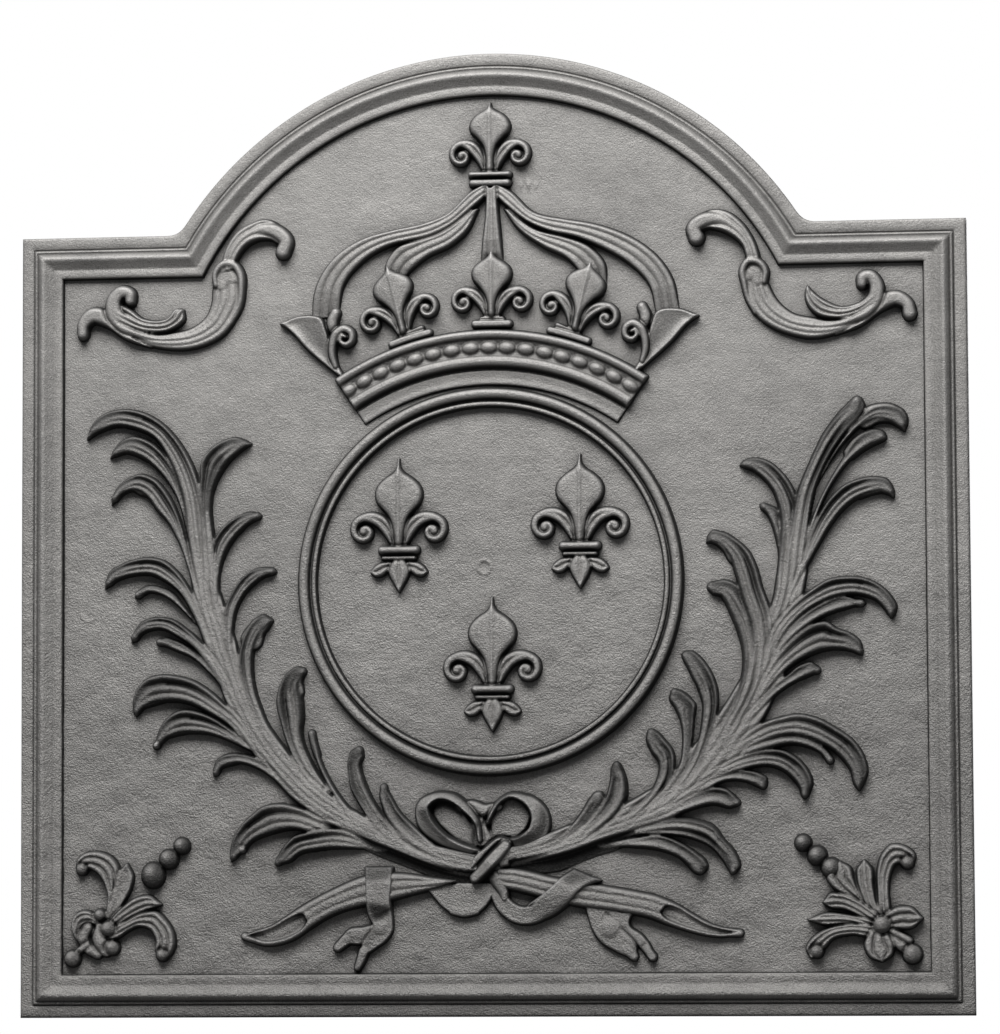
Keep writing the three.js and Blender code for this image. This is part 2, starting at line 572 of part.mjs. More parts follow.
const scrollLeft = {
  curl: [[9.3, 2.4, 5], [19.3, 21.4, 6.5], [32.3, 30.9, 6.6], [44.3, 30.4, 5.8], [51.3, 22.4, 4.6],
    [50.8, 15.4, 4.4]],
  body: [[14.3, 9.4, 5], [14.8, -0.6, 9], [14.3, -13.6, 10], [7.8, -27.6, 10.5], [-5.7, -36.1, 8.5],
    [-21.7, -38.6, 6.6], [-36.7, -34.6, 6.8], [-49.7, -26.1, 7.4], [-58.2, -18.1, 5], [-59.7, -10.6, 3]],
  leaf: [[-54.7, -18.6, 5], [-43.7, -26.1, 4.8], [-30.7, -28.6, 4.6], [-19.7, -26.1, 4.4],
    [-14.3, -19.1, 3]],
  tail: [[-56.7, -22.6, 5], [-68.7, -20.1, 5], [-76.7, -25.1, 4.2], [-80.2, -34.6, 2.8]],
  eye: { centre: [-52.2, -10.1], from: 7.6, to: 3, startAngle: 215, sweep: -200, half: 2.8 },
};
const scrollRight = {
  curl: [[-8.3, 4.4, 5], [-13.3, 15.4, 5.4], [-21.3, 26.4, 5.6], [-34.3, 33.4, 5], [-46.3, 31.9, 5],
    [-50.8, 24.4, 4.6], [-48.8, 20.4, 4.4]],
  body: [[-13.8, -5.6, 4], [-12.8, -18.6, 7], [-5.3, -29.6, 8.6], [7.7, -36.6, 8], [22.7, -38.6, 6.6],
    [37.7, -35.1, 6.8], [51.7, -28.1, 7], [61.7, -19.1, 5], [64.7, -11.6, 3]],
  leaf: [[60.7, -19.6, 4.8], [50.7, -26.1, 5.2], [37.7, -28.4, 5.4], [27.7, -25.1, 5.4],
    [21.2, -14.6, 2.6]],
  tail: [[61.7, -21.6, 4.6], [72.7, -19.6, 4.8], [80.7, -24.6, 4.6], [82.7, -30.6, 4.6]],
  eye: { centre: [57.7, -9.1], from: 7.6, to: 3, startAngle: -35, sweep: 200, half: 2.8 },
  spur: [[-4.3, -10.6, 5], [-14.3, 8.4, 5], [-22.8, 20.4, 4.8], [-32.3, 25.4, 4.2], [-37.8, 23.4, 3]],
};

// The volute overlaps the body's end. The right scroll has a second leaf, its spur, inside the curl.
function upperScroll({ curl, body, leaf, tail, eye, spur }, side) {
  const parts = [
    { spine: curl, rise: scrollRise, tipDrop: 0 },
    { spine: body, rise: scrollRise, tipDrop: 0.1 },
    { spine: leaf, rise: scrollRise * 0.85 },
    { spine: tail, rise: scrollRise * 0.85, section: roll, tipDrop: 0 },
    ...volute({ ...eye, rise: scrollRise * 0.9 }),
  ];
  if (spur) parts.push({ spine: spur, rise: scrollRise });
  return moved(parts, [side * innerFoot, innerTop]);
}

// ---- Lower sprays, measured from the lower corner of the field ----

const sprayLeft = {
  leaves: [
    [[32, 42, 3.5], [29.5, 58, 5], [24, 68.5, 6.4], [16, 71, 5.6], [12, 65.5, 4.2]],
    [[28, 30, 5], [34, 45, 5.2], [39.5, 58, 5], [40.2, 65.5, 3]],
    [[30, 29, 5], [42, 38.5, 5.4], [53, 43.4, 4.6], [61, 43, 2.4]],
    [[32, 24.5, 4.6], [44, 31.5, 5], [55.5, 32.5, 6.2], [63.5, 25, 6.8], [65.5, 17.5, 5.8], [63, 12, 4.6]],
    [[32, 31, 4], [25, 35.5, 4.6], [20.5, 34, 3]],
    [[24, 24, 5], [15, 30.5, 6.8], [9, 28.5, 5]],
    [[28, 20, 4], [19, 19.5, 4.4], [12, 22.5, 4]],
    [[36, 17, 4], [26, 14.5, 6], [16, 14.5, 4.4], [10, 12, 3]],
  ],
  heart: [28.5, 25.5, 6, 6],
  drop: [6.4, 9.4, 5.6, 5.4],
  husks: [[75, 78.6, 6.4, 6.4], [66, 70.4, 7, 7.2], [57.2, 59.8, 7.8, 8.6]],
};
const sprayRight = {
  leaves: [
    [[-27, 34, 3.5], [-29.5, 52, 4.4], [-27.5, 65.5, 6], [-19.5, 71.3, 6], [-12.5, 69, 5]],
    [[-30, 32, 4.5], [-36, 47, 5.6], [-39.4, 59, 5], [-39.2, 65, 3]],
    [[-32, 30, 4], [-42.5, 45, 6], [-50.5, 56, 6], [-54.4, 63.5, 3]],
    [[-31, 28, 4.2], [-42, 37, 5.4], [-53, 42, 4.8], [-61, 43, 3]],
    [[-34, 26, 4], [-48, 32.4, 4.8], [-60, 34.8, 5.2], [-69.5, 31.5, 3.6]],
    [[-35, 23, 4], [-50, 28.2, 4.4], [-63.5, 26.2, 5.6], [-71.5, 19.5, 5], [-70.2, 13, 5.2]],
    [[-22, 29, 4.4], [-14, 33, 6.4], [-9, 30.5, 4.4]],
    [[-28, 22, 4], [-20, 20.5, 5.4], [-14, 17, 3.6]],
    [[-38, 18.5, 3.6], [-31, 14.5, 7], [-23, 13.5, 4.6], [-15, 11.5, 3]],
  ],
  heart: [-28.5, 25.5, 6, 6],
  drop: [-10.6, 9.4, 6.4, 5.2],
  husks: [[-77, 78.4, 6.2, 6.6], [-68.2, 70.2, 6.8, 6.8], [-59.6, 62.4, 6.2, 6.2]],
};

const fieldCorner = (side) => [side * (plateWidth / 2 - mouldingWidth), mouldingWidth];

function spray({ leaves, heart, drop }, side) {
  const parts = leaves.map((spine) => ({ spine, rise: sprayRise }));
  for (const [x, y, halfLong, halfWide] of [heart, drop]) {
    parts.push({ centre: [x, y], halfLong, halfWide, rise: sprayRise * 0.85 });
  }
  return moved(parts, fieldCorner(side));
}

function huskString({ husks }, side) {
  const egg = ([x, y, halfLong, halfWide]) => ({ centre: [x, y], halfLong, halfWide, rise: huskRise });
  return moved(husks.map(egg), fieldCorner(side));
}

// ---- Assembly ----

const fireback = new THREE.Group();
const ironTone = { color: 0x4c4c4e, roughness: 0.55, metalness: 0.75 };

// Stands a solid up and adds it under its name, moved to its place on the plate
function place(name, solid, [x, y] = [0, 0]) {
  const { vertProperties, triVerts } = solid.getMesh();
  const geometry = new THREE.BufferGeometry();
  geometry.setAttribute('position', new THREE.BufferAttribute(vertProperties, 3));
  geometry.setIndex(new THREE.BufferAttribute(triVerts, 1));
  geometry.applyMatrix4(quarterTurn);
  geometry.computeVertexNormals();
  const mesh = new THREE.Mesh(geometry, new THREE.MeshStandardMaterial(ironTone));
  mesh.name = name;
  mesh.position.set(x, (reliefDepth - plateThickness) / 2, y);
  fireback.add(mesh);
}

const field = fieldRoom();

// Seats an ornament on the field: cut off at the moulding, and cut back from what it meets
function seat(name, ornament, ...rooms) {
  const solid = solidOf(ornament).intersect(field);
  place(name, rooms.reduce((left, room) => left.subtract(room), solid));
}

place('plate', plate());
place('border_moulding', borderMoulding());
place('medallion_ring', medallionRing(), [0, medallionHeight]);
for (const [name, [x, y]] of Object.entries(lisPlaces)) {
  place(name, solidOf(fleurDeLis()), [x, medallionHeight + y]);
}

const onCirclet = roundRoom([crownAxis, circletCentre], circletRadius);
const flowers = Object.entries(flowerPlaces).map(([name, spot]) => [name, rimFlower(spot)]);
const besideArches = [...flowers.map(([, flower]) => flower), finial, halfFleuronLeft, halfFleuronRight];
place('crown_circlet', crownCirclet().subtract(roundRoom([0, medallionHeight], medallionRadius)));
seat('crown_arches', crownArches, ...besideArches.map((ornament) => roomOf(ornament)));
for (const [name, flower] of flowers) seat(name, flower, onCirclet);
seat('crown_finial', finial);
seat('crown_half_fleuron_left', halfFleuronLeft, onCirclet);
seat('crown_half_fleuron_right', halfFleuronRight, onCirclet);

const bowRoom = roomOf(ribbonBow);
seat('palm_branch_left', palmBranch(palmLeft), bowRoom);
seat('palm_branch_right', palmBranch(palmRight), bowRoom);
seat('palm_stalk_left', stalkLeft, bowRoom);
seat('palm_stalk_right', stalkRight, bowRoom);

seat('ribbon_bow', ribbonBow);
seat('ribbon_end_left', ribbonEndLeft, roomOf(stalkLeft, stemRise + clearance));
seat('ribbon_end_right', ribbonEndRight, roomOf(stalkRight, stemRise + clearance));
seat('ribbon_tail_right', ribbonTailRight, roomOf([...stalkRight, ...ribbonEndRight]));
seat('ribbon_fold', ribbonFold, roomOf([...stalkLeft, ...ribbonEndRight]));

const corners = [['left', -1, scrollLeft, sprayLeft], ['right', 1, scrollRight, sprayRight]];
for (const [end, side, scroll, sprig] of corners) {
  const husks = huskString(sprig, side);
  seat(`upper_scroll_${end}`, upperScroll(scroll, side));
  seat(`lower_spray_${end}`, spray(sprig, side), roomOf(husks));
  seat(`husk_string_${end}`, husks);
}

export default fireback;
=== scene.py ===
import math

import bpy
import numpy as np
from mathutils import Matrix, Vector
from mathutils.geometry import delaunay_2d_cdt


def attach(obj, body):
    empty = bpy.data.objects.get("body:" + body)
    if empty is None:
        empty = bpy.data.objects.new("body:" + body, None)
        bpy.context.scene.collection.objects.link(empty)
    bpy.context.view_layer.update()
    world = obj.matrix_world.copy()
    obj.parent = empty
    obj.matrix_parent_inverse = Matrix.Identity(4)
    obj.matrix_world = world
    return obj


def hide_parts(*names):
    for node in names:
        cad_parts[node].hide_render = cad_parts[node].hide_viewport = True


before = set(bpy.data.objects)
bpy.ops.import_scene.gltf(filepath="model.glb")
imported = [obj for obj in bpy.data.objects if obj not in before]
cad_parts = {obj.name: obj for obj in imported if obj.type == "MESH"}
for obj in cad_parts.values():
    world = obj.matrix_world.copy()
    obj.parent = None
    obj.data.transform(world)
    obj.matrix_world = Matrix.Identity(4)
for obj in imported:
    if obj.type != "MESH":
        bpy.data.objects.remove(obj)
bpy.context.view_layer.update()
mm = 0.001
scene = bpy.context.scene
rng = np.random.default_rng(1701)


# Carving: all lengths in mm, x across the plate, z up it, height out of the field

def flow(points, step=1.0):  # a smooth curve through the points, sampled about every step
    p = np.array(points, float)
    h = np.hypot(*np.diff(p[:, :2], axis=0).T)
    slope = np.diff(p, axis=0) / h[:, None]
    middle = (slope[:-1] * h[1:, None] + slope[1:] * h[:-1, None]) / (h[:-1] + h[1:])[:, None]
    m = np.vstack([slope[:1], middle, slope[-1:]])
    rows = []
    for k in range(len(h)):
        t = np.arange(max(1, round(h[k] / step)))[:, None]
        t = t / len(t)
        rows.append((2 * t**3 - 3 * t * t + 1) * p[k] + (t**3 - 2 * t * t + t) * h[k] * m[k]
                    + (3 * t * t - 2 * t**3) * p[k + 1] + (t**3 - t * t) * h[k] * m[k + 1])
    return np.vstack(rows + [p[-1:]])


def nearest(px, pz, line):  # distance of each cell from a line, and the share along it
    best = np.full(px.shape, 1e9)
    along = np.zeros(px.shape)
    a, d = line[:-1, :2], np.diff(line[:, :2], axis=0)
    size = np.maximum((d**2).sum(1), 1e-9)
    for k in range(len(d)):
        rx, rz = px - a[k, 0], pz - a[k, 1]
        t = np.clip((rx * d[k, 0] + rz * d[k, 1]) / size[k], 0, 1)
        far = np.hypot(rx - t * d[k, 0], rz - t * d[k, 1])
        win = far < best
        best[win] = far[win]
        along[win] = (k + t[win]) / len(d)
    return best, along


# heights out of the field, then how far the hollow measure and the painted shade spread
skin = {"empty": -2.0, "floor": -1.0, "keepAbove": -0.35, "back": 1.3, "hollowSpread": 2.2,
        "shadeSpread": 0.5}


class Relief:
    def __init__(self, x0, z0, x1, z1, cell):
        self.cell = cell
        self.x, self.z = np.arange(x0, x1 + cell, cell), np.arange(z0, z1 + cell, cell)
        self.h = np.full((len(self.x), len(self.z)), skin["empty"])
        self.shade = np.zeros_like(self.h)

    def window(self, points, pad):
        low, high = points[:, :2].min(0) - pad, points[:, :2].max(0) + pad
        i = np.searchsorted(self.x, [low[0], high[0]])
        j = np.searchsorted(self.z, [low[1], high[1]])
        view = (slice(*i), slice(*j))
        px, pz = np.meshgrid(self.x[view[0]], self.z[view[1]], indexing="ij")
        return view, px, pz

    # a form between two edge lines that run from its root to its tip
    def blade(self, a, b, rise=7.0, edge=(2.2, 4.0), flutes=0, depth=0.8, dish=0.0, tilt=0.0,
              cover=3.0, groove=1.2, root=0.12, furrow=None):
        a, b = flow(a), flow(b)
        view, px, pz = self.window(np.vstack([a, b]), 6)
        ra, ua = nearest(px, pz, a)
        rb, ub = nearest(px, pz, b)
        ring = np.vstack([a, b[::-1]])
        inside = np.zeros(px.shape, bool)
        for (xa, za), (xb, zb) in zip(ring, np.roll(ring, -1, axis=0)):
            if za != zb:
                cross = (za > pz) != (zb > pz)
                inside ^= cross & (px < (xb - xa) * (pz - za) / (zb - za) + xa)
        reach = np.where(inside, 1, -1) * np.minimum(ra, rb)
        across = (rb - ra) / np.maximum(ra + rb, 1e-6)
        along = np.minimum((ua + ub) / 2, 1)
        limits = np.where(across > 0, edge[0], edge[1])
        self.shade[view] *= np.where(reach > 0, 0, 1)
        if furrow:  # the furrow, and painted shade beside it, under the lower rim and towards the tip
            place, wide, deep = furrow
            deep = graded([[0, 0], [0.25, 0.3 * deep], [0.6, deep], [0.85, deep], [1, 0]], along)
            hollow = deep * np.exp(-((across - place) / wide)**2)
            rise = graded(rise, along) - hollow * np.clip((ra + rb) / 6, 0, 1)
            upper = np.exp(-((across - 1.2 * place) / 0.55)**2) * np.clip((along - 0.2) / 0.4, 0, 1)
            lower = np.clip((-np.sign(place) * across - 0.4) / 0.3, 0, 1)
            lower = lower * np.clip((along - 0.1) / 0.3, 0, 1)
            leafShade = np.maximum(0.92 * upper, 0.95 * lower)
            tip = 0.45 * np.clip((along - 0.4) / 0.4, 0, 1)
            leafShade = np.where(reach > 0.1, np.maximum(leafShade, tip), 0)
            self.shade[view] = np.maximum(self.shade[view], leafShade)
        self.carve(view, reach, across, along, (ra + rb) / 2, rise, limits, flutes, depth, dish,
                   tilt, cover, groove, root)

    def stroke(self, points, rise=7.0, edge=9.0, flutes=0, depth=0.8, dish=0.0, tilt=0.0,
               cover=3.0, groove=1.2, root=0.0):  # a form along a line of [x, z, half width]
        line = flow(points)
        grow = max(6, line[:, 2].max() + 4)
        whole, px, pz = self.window(line, grow)
        best = np.full(px.shape, 1e9)
        reach, across, along, half = (np.full(px.shape, v) for v in (-9.0, 0.0, 0.0, 1.0))
        for k in range(len(line) - 1):
            (xa, za, wa), (xb, zb, wb) = line[k], line[k + 1]
            dx, dz = xb - xa, zb - za
            t = np.clip(((px - xa) * dx + (pz - za) * dz) / (dx * dx + dz * dz + 1e-9), 0, 1)
            far = np.hypot(px - xa - t * dx, pz - za - t * dz)
            w = np.maximum(wa + (wb - wa) * t, 0.05)
            win = far / w < best
            best[win] = (far / w)[win]
            reach[win] = (w - far)[win]
            half[win] = w[win]
            along[win] = ((k + t) / (len(line) - 1))[win]
            turn = np.sign(dx * (pz - za) - dz * (px - xa))
            across[win] = (turn * far / w)[win]
        self.carve(whole, reach, np.clip(across, -1, 1), along, half, rise, edge, flutes, depth,
                   dish, tilt, cover, groove, root)

    def carve(self, view, reach, across, along, half, rise, edge, flutes, depth, dish, tilt,
              cover, groove, root):
        rise, depth, tilt, dish = (graded(v, along) for v in (rise, depth, tilt, dish))
        width = np.minimum(edge, np.maximum(half, 0.3))
        near = np.clip(reach / width, 0, 1)
        shape = (1 - (1 - near)**2.4)**0.45
        top = rise * (1 + tilt * across)
        if flutes:
            wave = np.abs(np.sin(math.pi * flutes * (across + 1) / 2))
            lines = (1 - wave)**2 if flutes > 1 else 0
            inner = np.clip((1 - np.abs(across)) * flutes - 0.35, 0, 0.4) / 0.4
            top = top - depth * np.clip(half / 2.5, 0.2, 1) * (lines * inner + 0.22 * (1 - wave) * inner)
        top = top - dish * (1 - across**2) * np.minimum(1, half / 4)
        made = np.where(reach > 0, top * shape, 2.2 * reach)
        old = self.h[view]
        hide = np.clip(reach / 1.2, 0, 1)
        pressed = old - cover * hide - groove * np.exp(-(np.minimum(reach, 0) / 0.9)**2)
        new = np.maximum(np.where(old > -1.9, pressed, old), made)
        if root:
            fade = np.clip(along / root, 0, 1)
            fade = fade * fade * (3 - 2 * fade)
            new = np.where((old > 0) & (reach > -3), old + (new - old) * fade, new)
        self.h[view] = new

    def ball(self, x, z, r, rise=6.0, tall=1.0, cover=3.0, groove=1.2, black=0.0):
        spot = np.array([[x, z]])
        view, px, pz = self.window(spot, r * max(1, tall) + 4)
        far = np.hypot((px - x), (pz - z) / tall)
        # painted shade over the ball, leaving a painted highlight at its upper left as if lit from there
        lit = (px - x + 0.2 * r)**2 + (pz - z - 0.3 * r)**2
        bright = np.exp(-lit / (0.36 * r)**2)
        self.shade[view] = np.where(far < r, black * (1 - bright), self.shade[view])
        self.carve(view, r - far, far * 0, far * 0, far * 0 + r, rise, r, 0, 0, 0, 0, cover, groove, 0)

    # painted shade in an undercut or a deep fold, between two edge lines
    def darken(self, a, b, amount=1.0, soft=1.2):
        mask = Relief(self.x[0], self.z[0], self.x[-1], self.z[-1], self.cell)
        mask.h[:] = 0
        mask.blade(a, b, rise=1, edge=(soft, soft), root=0, groove=0, cover=0)
        mask = np.clip(mask.h[:self.h.shape[0], :self.h.shape[1]], 0, 1)
        self.shade = np.maximum(self.shade, blur(mask, soft / self.cell / 2) * amount)

    def ridge(self, points, height, wide=1.2):  # a narrow crest along a line
        line = flow(points)
        view, px, pz = self.window(line, 4)
        far, along = nearest(px, pz, line)
        old = self.h[view]
        made = old + graded(height, along) * np.clip(1 - far / wide, 0, 1)
        self.h[view] = np.where(old > 0.5, made, old)

    def soften(self, radius):
        self.h = blur(self.h, radius / self.cell)


def graded(value, along):  # a number, or stops of [share along, number] read at each cell
    if np.isscalar(value) or isinstance(value, np.ndarray):
        return value
    stops = np.array(value, float)
    return np.interp(along, stops[:, 0], stops[:, 1])


def blur(h, sigma):
    n = max(1, int(3 * sigma))
    k = np.exp(-0.5 * (np.arange(-n, n + 1) / sigma)**2)
    k /= k.sum()
    for axis in (0, 1):
        pad = [(0, 0), (0, 0)]
        pad[axis] = (n, n)
        wide = np.pad(h, pad, mode="edge")
        size = h.shape[axis]
        h = sum(w * np.take(wide, range(q, q + size), axis=axis) for q, w in enumerate(k))
    return h


def meshFrom(name, verts, faces, marks):
    data = bpy.data.meshes.new(name)
    verts, faces = np.asarray(verts, np.float32), np.asarray(faces, np.int32)
    sides = faces.shape[1]
    data.vertices.add(len(verts))
    data.vertices.foreach_set("co", (verts * mm).ravel())
    data.loops.add(faces.size)
    data.loops.foreach_set("vertex_index", faces.ravel())
    data.polygons.add(len(faces))
    data.polygons.foreach_set("loop_start", np.arange(0, faces.size, sides, dtype=np.int32))
    data.polygons.foreach_set("use_smooth", np.full(len(faces), True))
    data.update(calc_edges=True)
    data.validate()
    for mark, values in marks.items():
        layer = data.attributes.new(mark, "FLOAT", "POINT")
        layer.data.foreach_set("value", np.asarray(values, np.float32))
    piece = bpy.data.objects.new(name, data)
    scene.collection.objects.link(piece)
    data.materials.append(iron)
    return piece


def settle(piece, node):
    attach(piece, "root")
    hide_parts(node)
    print(node, len(piece.data.polygons))


# the relief as a closed skin that dips under the field, in place of a CAD node
def cast(relief, node, soft=0.55):
    relief.soften(soft)
    h = np.maximum(relief.h, skin["floor"])
    keep = h > skin["keepAbove"]
    quad = keep[:-1, :-1] | keep[1:, :-1] | keep[:-1, 1:] | keep[1:, 1:]
    used = np.zeros(h.shape, bool)
    for di in (0, 1):
        for dj in (0, 1):
            used[di:di + quad.shape[0], dj:dj + quad.shape[1]] |= quad
    index = np.full(h.shape, -1)
    index[used] = np.arange(used.sum())
    count = int(used.sum())
    px, pz = np.meshgrid(relief.x, relief.z, indexing="ij")
    front = np.stack([px[used], -h[used], pz[used]], 1)
    back = np.stack([px[used], np.full(count, skin["back"]), pz[used]], 1)
    i, j = np.nonzero(quad)
    corner = [index[i, j], index[i + 1, j], index[i + 1, j + 1], index[i, j + 1]]
    faces = [np.stack(corner, 1), np.stack(corner[::-1], 1) + count]
    padded = np.pad(quad, 1)
    for di, dj, a, b in ((0, -1, 0, 1), (1, 0, 1, 2), (0, 1, 2, 3), (-1, 0, 3, 0)):
        rim = ~padded[i + 1 + di, j + 1 + dj]
        pa, pb = corner[a][rim], corner[b][rim]
        faces.append(np.stack([pb, pa, pa + count, pb + count], 1))
    floor = np.maximum(h, 0)
    hollow = blur(floor, skin["hollowSpread"] / relief.cell) - floor
    gx, gz = np.gradient(h, relief.cell)
    wall = 1 - 1 / np.sqrt(1 + gx**2 + gz**2)
    shade = blur(relief.shade, skin["shadeSpread"] / relief.cell)
    marks = {"hollow": np.tile(hollow[used], 2), "wall": np.tile(wall[used], 2),
             "shade": np.tile(shade[used], 2)}
    piece = meshFrom(node + "_cast", np.vstack([front, back]), np.vstack(faces), marks)
    settle(piece, node)


# Blackened iron: satin graphite over sand-cast iron, with painted shade in the hollows, on the walls and in
# the corners, and a painted highlight on the crests

finish = {
    "metallic": 0.55, "specular": 0.5, "roughness": 0.52, "mottledRoughness": 0.16, "shadeAndPitRoughness": 0.12,
    "dark": (0.116, 0.113, 0.109, 1), "light": (0.45, 0.436, 0.418, 1),
    # a near-black that painted shade and the pits mix towards, and the pale colour of the painted highlight
    # and wear on the crests
    "darken": (0.009, 0.009, 0.0085, 1), "darkenAmount": 0.95, "wearAndHighlight": (0.5, 0.49, 0.48, 1), "wearAndHighlightAmount": 0.16,
    "steep": (0.16, 0.62), "pits": (0.6, 0.67), "pitAmount": 0.55,
    "cornerReach": 0.011, "cornerFrom": 0.18, "cornerAmount": 1.6,
    # each noise: scale per metre, detail, roughness
    "cloud": (9.0, 3.0, 0.55), "mottle": (60.0, 4.0, 0.6), "grain": (1000.0, 3.0, 0.65),
    "speck": (1000.0, 2.0, 0.6), "sand": (1050.0, 2.0, 0.6), "fine": (380.0, 2.0, 0.55),
    "lumps": (95.0, 3.0, 0.5),
    "sandHeight": 0.7, "fineHeight": 0.28, "lumpHeight": 0.9, "bump": 0.001,
    # the sand's strength, by height up the plate
    "coarse": {"From Min": 0.08, "From Max": 0.45, "To Min": 1.6, "To Max": 0.5},
}


def makeIron():
    material = bpy.data.materials.new("blackened_iron")
    material.use_nodes = True
    nodes, links = material.node_tree.nodes, material.node_tree.links
    nodes.clear()

    def add(kind, **values):
        node = nodes.new(kind)
        for key, value in values.items():
            if hasattr(node, key):
                setattr(node, key, value)
            else:
                node.inputs[key].default_value = value
        return node

    def maths(kind, a, b, clamp=False):
        node = add("ShaderNodeMath", operation=kind, use_clamp=clamp)
        for socket, value in zip(node.inputs, (a, b)):
            if isinstance(value, (int, float)):
                socket.default_value = value
            else:
                links.new(value, socket)
        return node.outputs[0]

    where = add("ShaderNodeTexCoord").outputs["Object"]

    def noise(name):
        scale, detail, rough = finish[name]
        node = add("ShaderNodeTexNoise", Scale=scale, Detail=detail, Roughness=rough)
        links.new(where, node.inputs["Vector"])
        return node.outputs["Fac"]

    surface = add("ShaderNodeBsdfPrincipled")
    surface.inputs["Metallic"].default_value = finish["metallic"]
    surface.inputs["Specular IOR Level"].default_value = finish["specular"]
    out = add("ShaderNodeOutputMaterial")
    links.new(surface.outputs[0], out.inputs["Surface"])

    cloud = noise("cloud")
    mottle = noise("mottle")
    grain = noise("grain")
    speck = noise("speck")
    hollow = add("ShaderNodeAttribute", attribute_name="hollow").outputs["Fac"]
    shade = add("ShaderNodeAttribute", attribute_name="shade").outputs["Fac"]
    wall = add("ShaderNodeAttribute", attribute_name="wall").outputs["Fac"]

    tone = maths("MULTIPLY_ADD", cloud, 0.55)
    tone.node.inputs[2].default_value = 0.45
    tone = maths("ADD", tone, maths("MULTIPLY", maths("SUBTRACT", mottle, 0.5), 0.5))
    tone = maths("ADD", tone, maths("MULTIPLY", maths("SUBTRACT", grain, 0.5), 1.5))
    ramp = add("ShaderNodeValToRGB")
    ramp.color_ramp.elements[0].position = 0.1
    ramp.color_ramp.elements[0].color = finish["dark"]
    ramp.color_ramp.elements[1].position = 1.1
    ramp.color_ramp.elements[1].color = finish["light"]
    links.new(tone, ramp.inputs["Fac"])

    # painted shade on steep walls, in hollows, where the relief's shade mark lies, and in corners by ambient
    # occlusion
    steep = add("ShaderNodeMapRange", interpolation_type="SMOOTHSTEP")
    links.new(wall, steep.inputs["Value"])
    steep.inputs["From Min"].default_value, steep.inputs["From Max"].default_value = finish["steep"]
    shadeAndPits = maths("MULTIPLY", maths("MAXIMUM", maths("SUBTRACT", hollow, 0.15), 0.0), 0.5)
    shadeAndPits = maths("ADD", shadeAndPits, steep.outputs[0], True)
    shadeAndPits = maths("MAXIMUM", shadeAndPits, shade)
    foot = add("ShaderNodeAmbientOcclusion", samples=4, Distance=finish["cornerReach"])
    corner = maths("SUBTRACT", 1.0, foot.outputs["AO"])
    corner = maths("MULTIPLY", maths("SUBTRACT", corner, finish["cornerFrom"]), finish["cornerAmount"])
    shadeAndPits = maths("MAXIMUM", shadeAndPits, corner, True)
    # the pits are the iron's own dark specks, added to the painted shade
    pit = add("ShaderNodeMapRange", interpolation_type="SMOOTHSTEP")
    links.new(speck, pit.inputs["Value"])
    pit.inputs["From Min"].default_value, pit.inputs["From Max"].default_value = finish["pits"]
    shadeAndPits = maths("MAXIMUM", shadeAndPits, maths("MULTIPLY", pit.outputs[0], finish["pitAmount"]), True)
    dark = add("ShaderNodeMix", data_type="RGBA")
    links.new(maths("MULTIPLY", shadeAndPits, finish["darkenAmount"], True), dark.inputs["Factor"])
    links.new(ramp.outputs["Color"], dark.inputs[6])
    dark.inputs[7].default_value = finish["darken"]
    # painted highlight and wear on the crests, held back where shade is painted
    crest = maths("MAXIMUM", maths("MULTIPLY", hollow, -1.0), 0.0)
    wearAndHighlight = maths("MULTIPLY", crest, finish["wearAndHighlightAmount"], True)
    wearAndHighlight = maths("MULTIPLY", wearAndHighlight, maths("SUBTRACT", 1.0, shade, True))
    bright = add("ShaderNodeMix", data_type="RGBA")
    links.new(wearAndHighlight, bright.inputs["Factor"])
    links.new(dark.outputs[2], bright.inputs[6])
    bright.inputs[7].default_value = finish["wearAndHighlight"]
    links.new(bright.outputs[2], surface.inputs["Base Color"])

    rough = maths("MULTIPLY_ADD", mottle, finish["mottledRoughness"])
    rough.node.inputs[2].default_value = finish["roughness"]
    rough = maths("ADD", rough, maths("MULTIPLY", shadeAndPits, finish["shadeAndPitRoughness"]))
    links.new(rough, surface.inputs["Roughness"])

    sand = noise("sand")
    fine = noise("fine")
    lumps = noise("lumps")
    low = maths("MULTIPLY", fine, finish["fineHeight"])
    height = maths("ADD", low, maths("MULTIPLY", lumps, finish["lumpHeight"]))
    split = add("ShaderNodeSeparateXYZ")
    links.new(where, split.inputs[0])
    coarse = add("ShaderNodeMapRange", interpolation_type="SMOOTHSTEP")
    links.new(split.outputs["Z"], coarse.inputs["Value"])
    for key, value in finish["coarse"].items():
        coarse.inputs[key].default_value = value
    height = maths("ADD", height, maths("MULTIPLY", sand, finish["sandHeight"]))
    height = maths("MULTIPLY", height, coarse.outputs[0])
    bump = add("ShaderNodeBump", Strength=1.0, Distance=finish["bump"])
    links.new(height, bump.inputs["Height"])
    links.new(bump.outputs[0], surface.inputs["Normal"])
    return material


iron = makeIron()


# Outline of the plate at any distance in from its edge

plate = {"halfWidth": 300.0, "shoulder": 495.0, "archRadius": 232.5, "archCentre": 374.0,
         "back": -13.0, "fillet": 8.0, "grid": 3.0, "scatter": 0.6, "markGrid": 0.7,
         "waves": [(0.25, 40, 9), (0.4, 11, 4), (0.12, 4.5, 6)], "deepest": 0.75,  # size, length, seed
         "arris": [(0.55, 0.45), (0.15, 1.2), (0.15, 11.8), (0.55, 12.55)],  # inset and depth round the side
         "marks": [(-4, 281, 8), (-257, 254, 8), (25, 522, 12)]}  # ring scar, arc scar, blob: x, z, reach


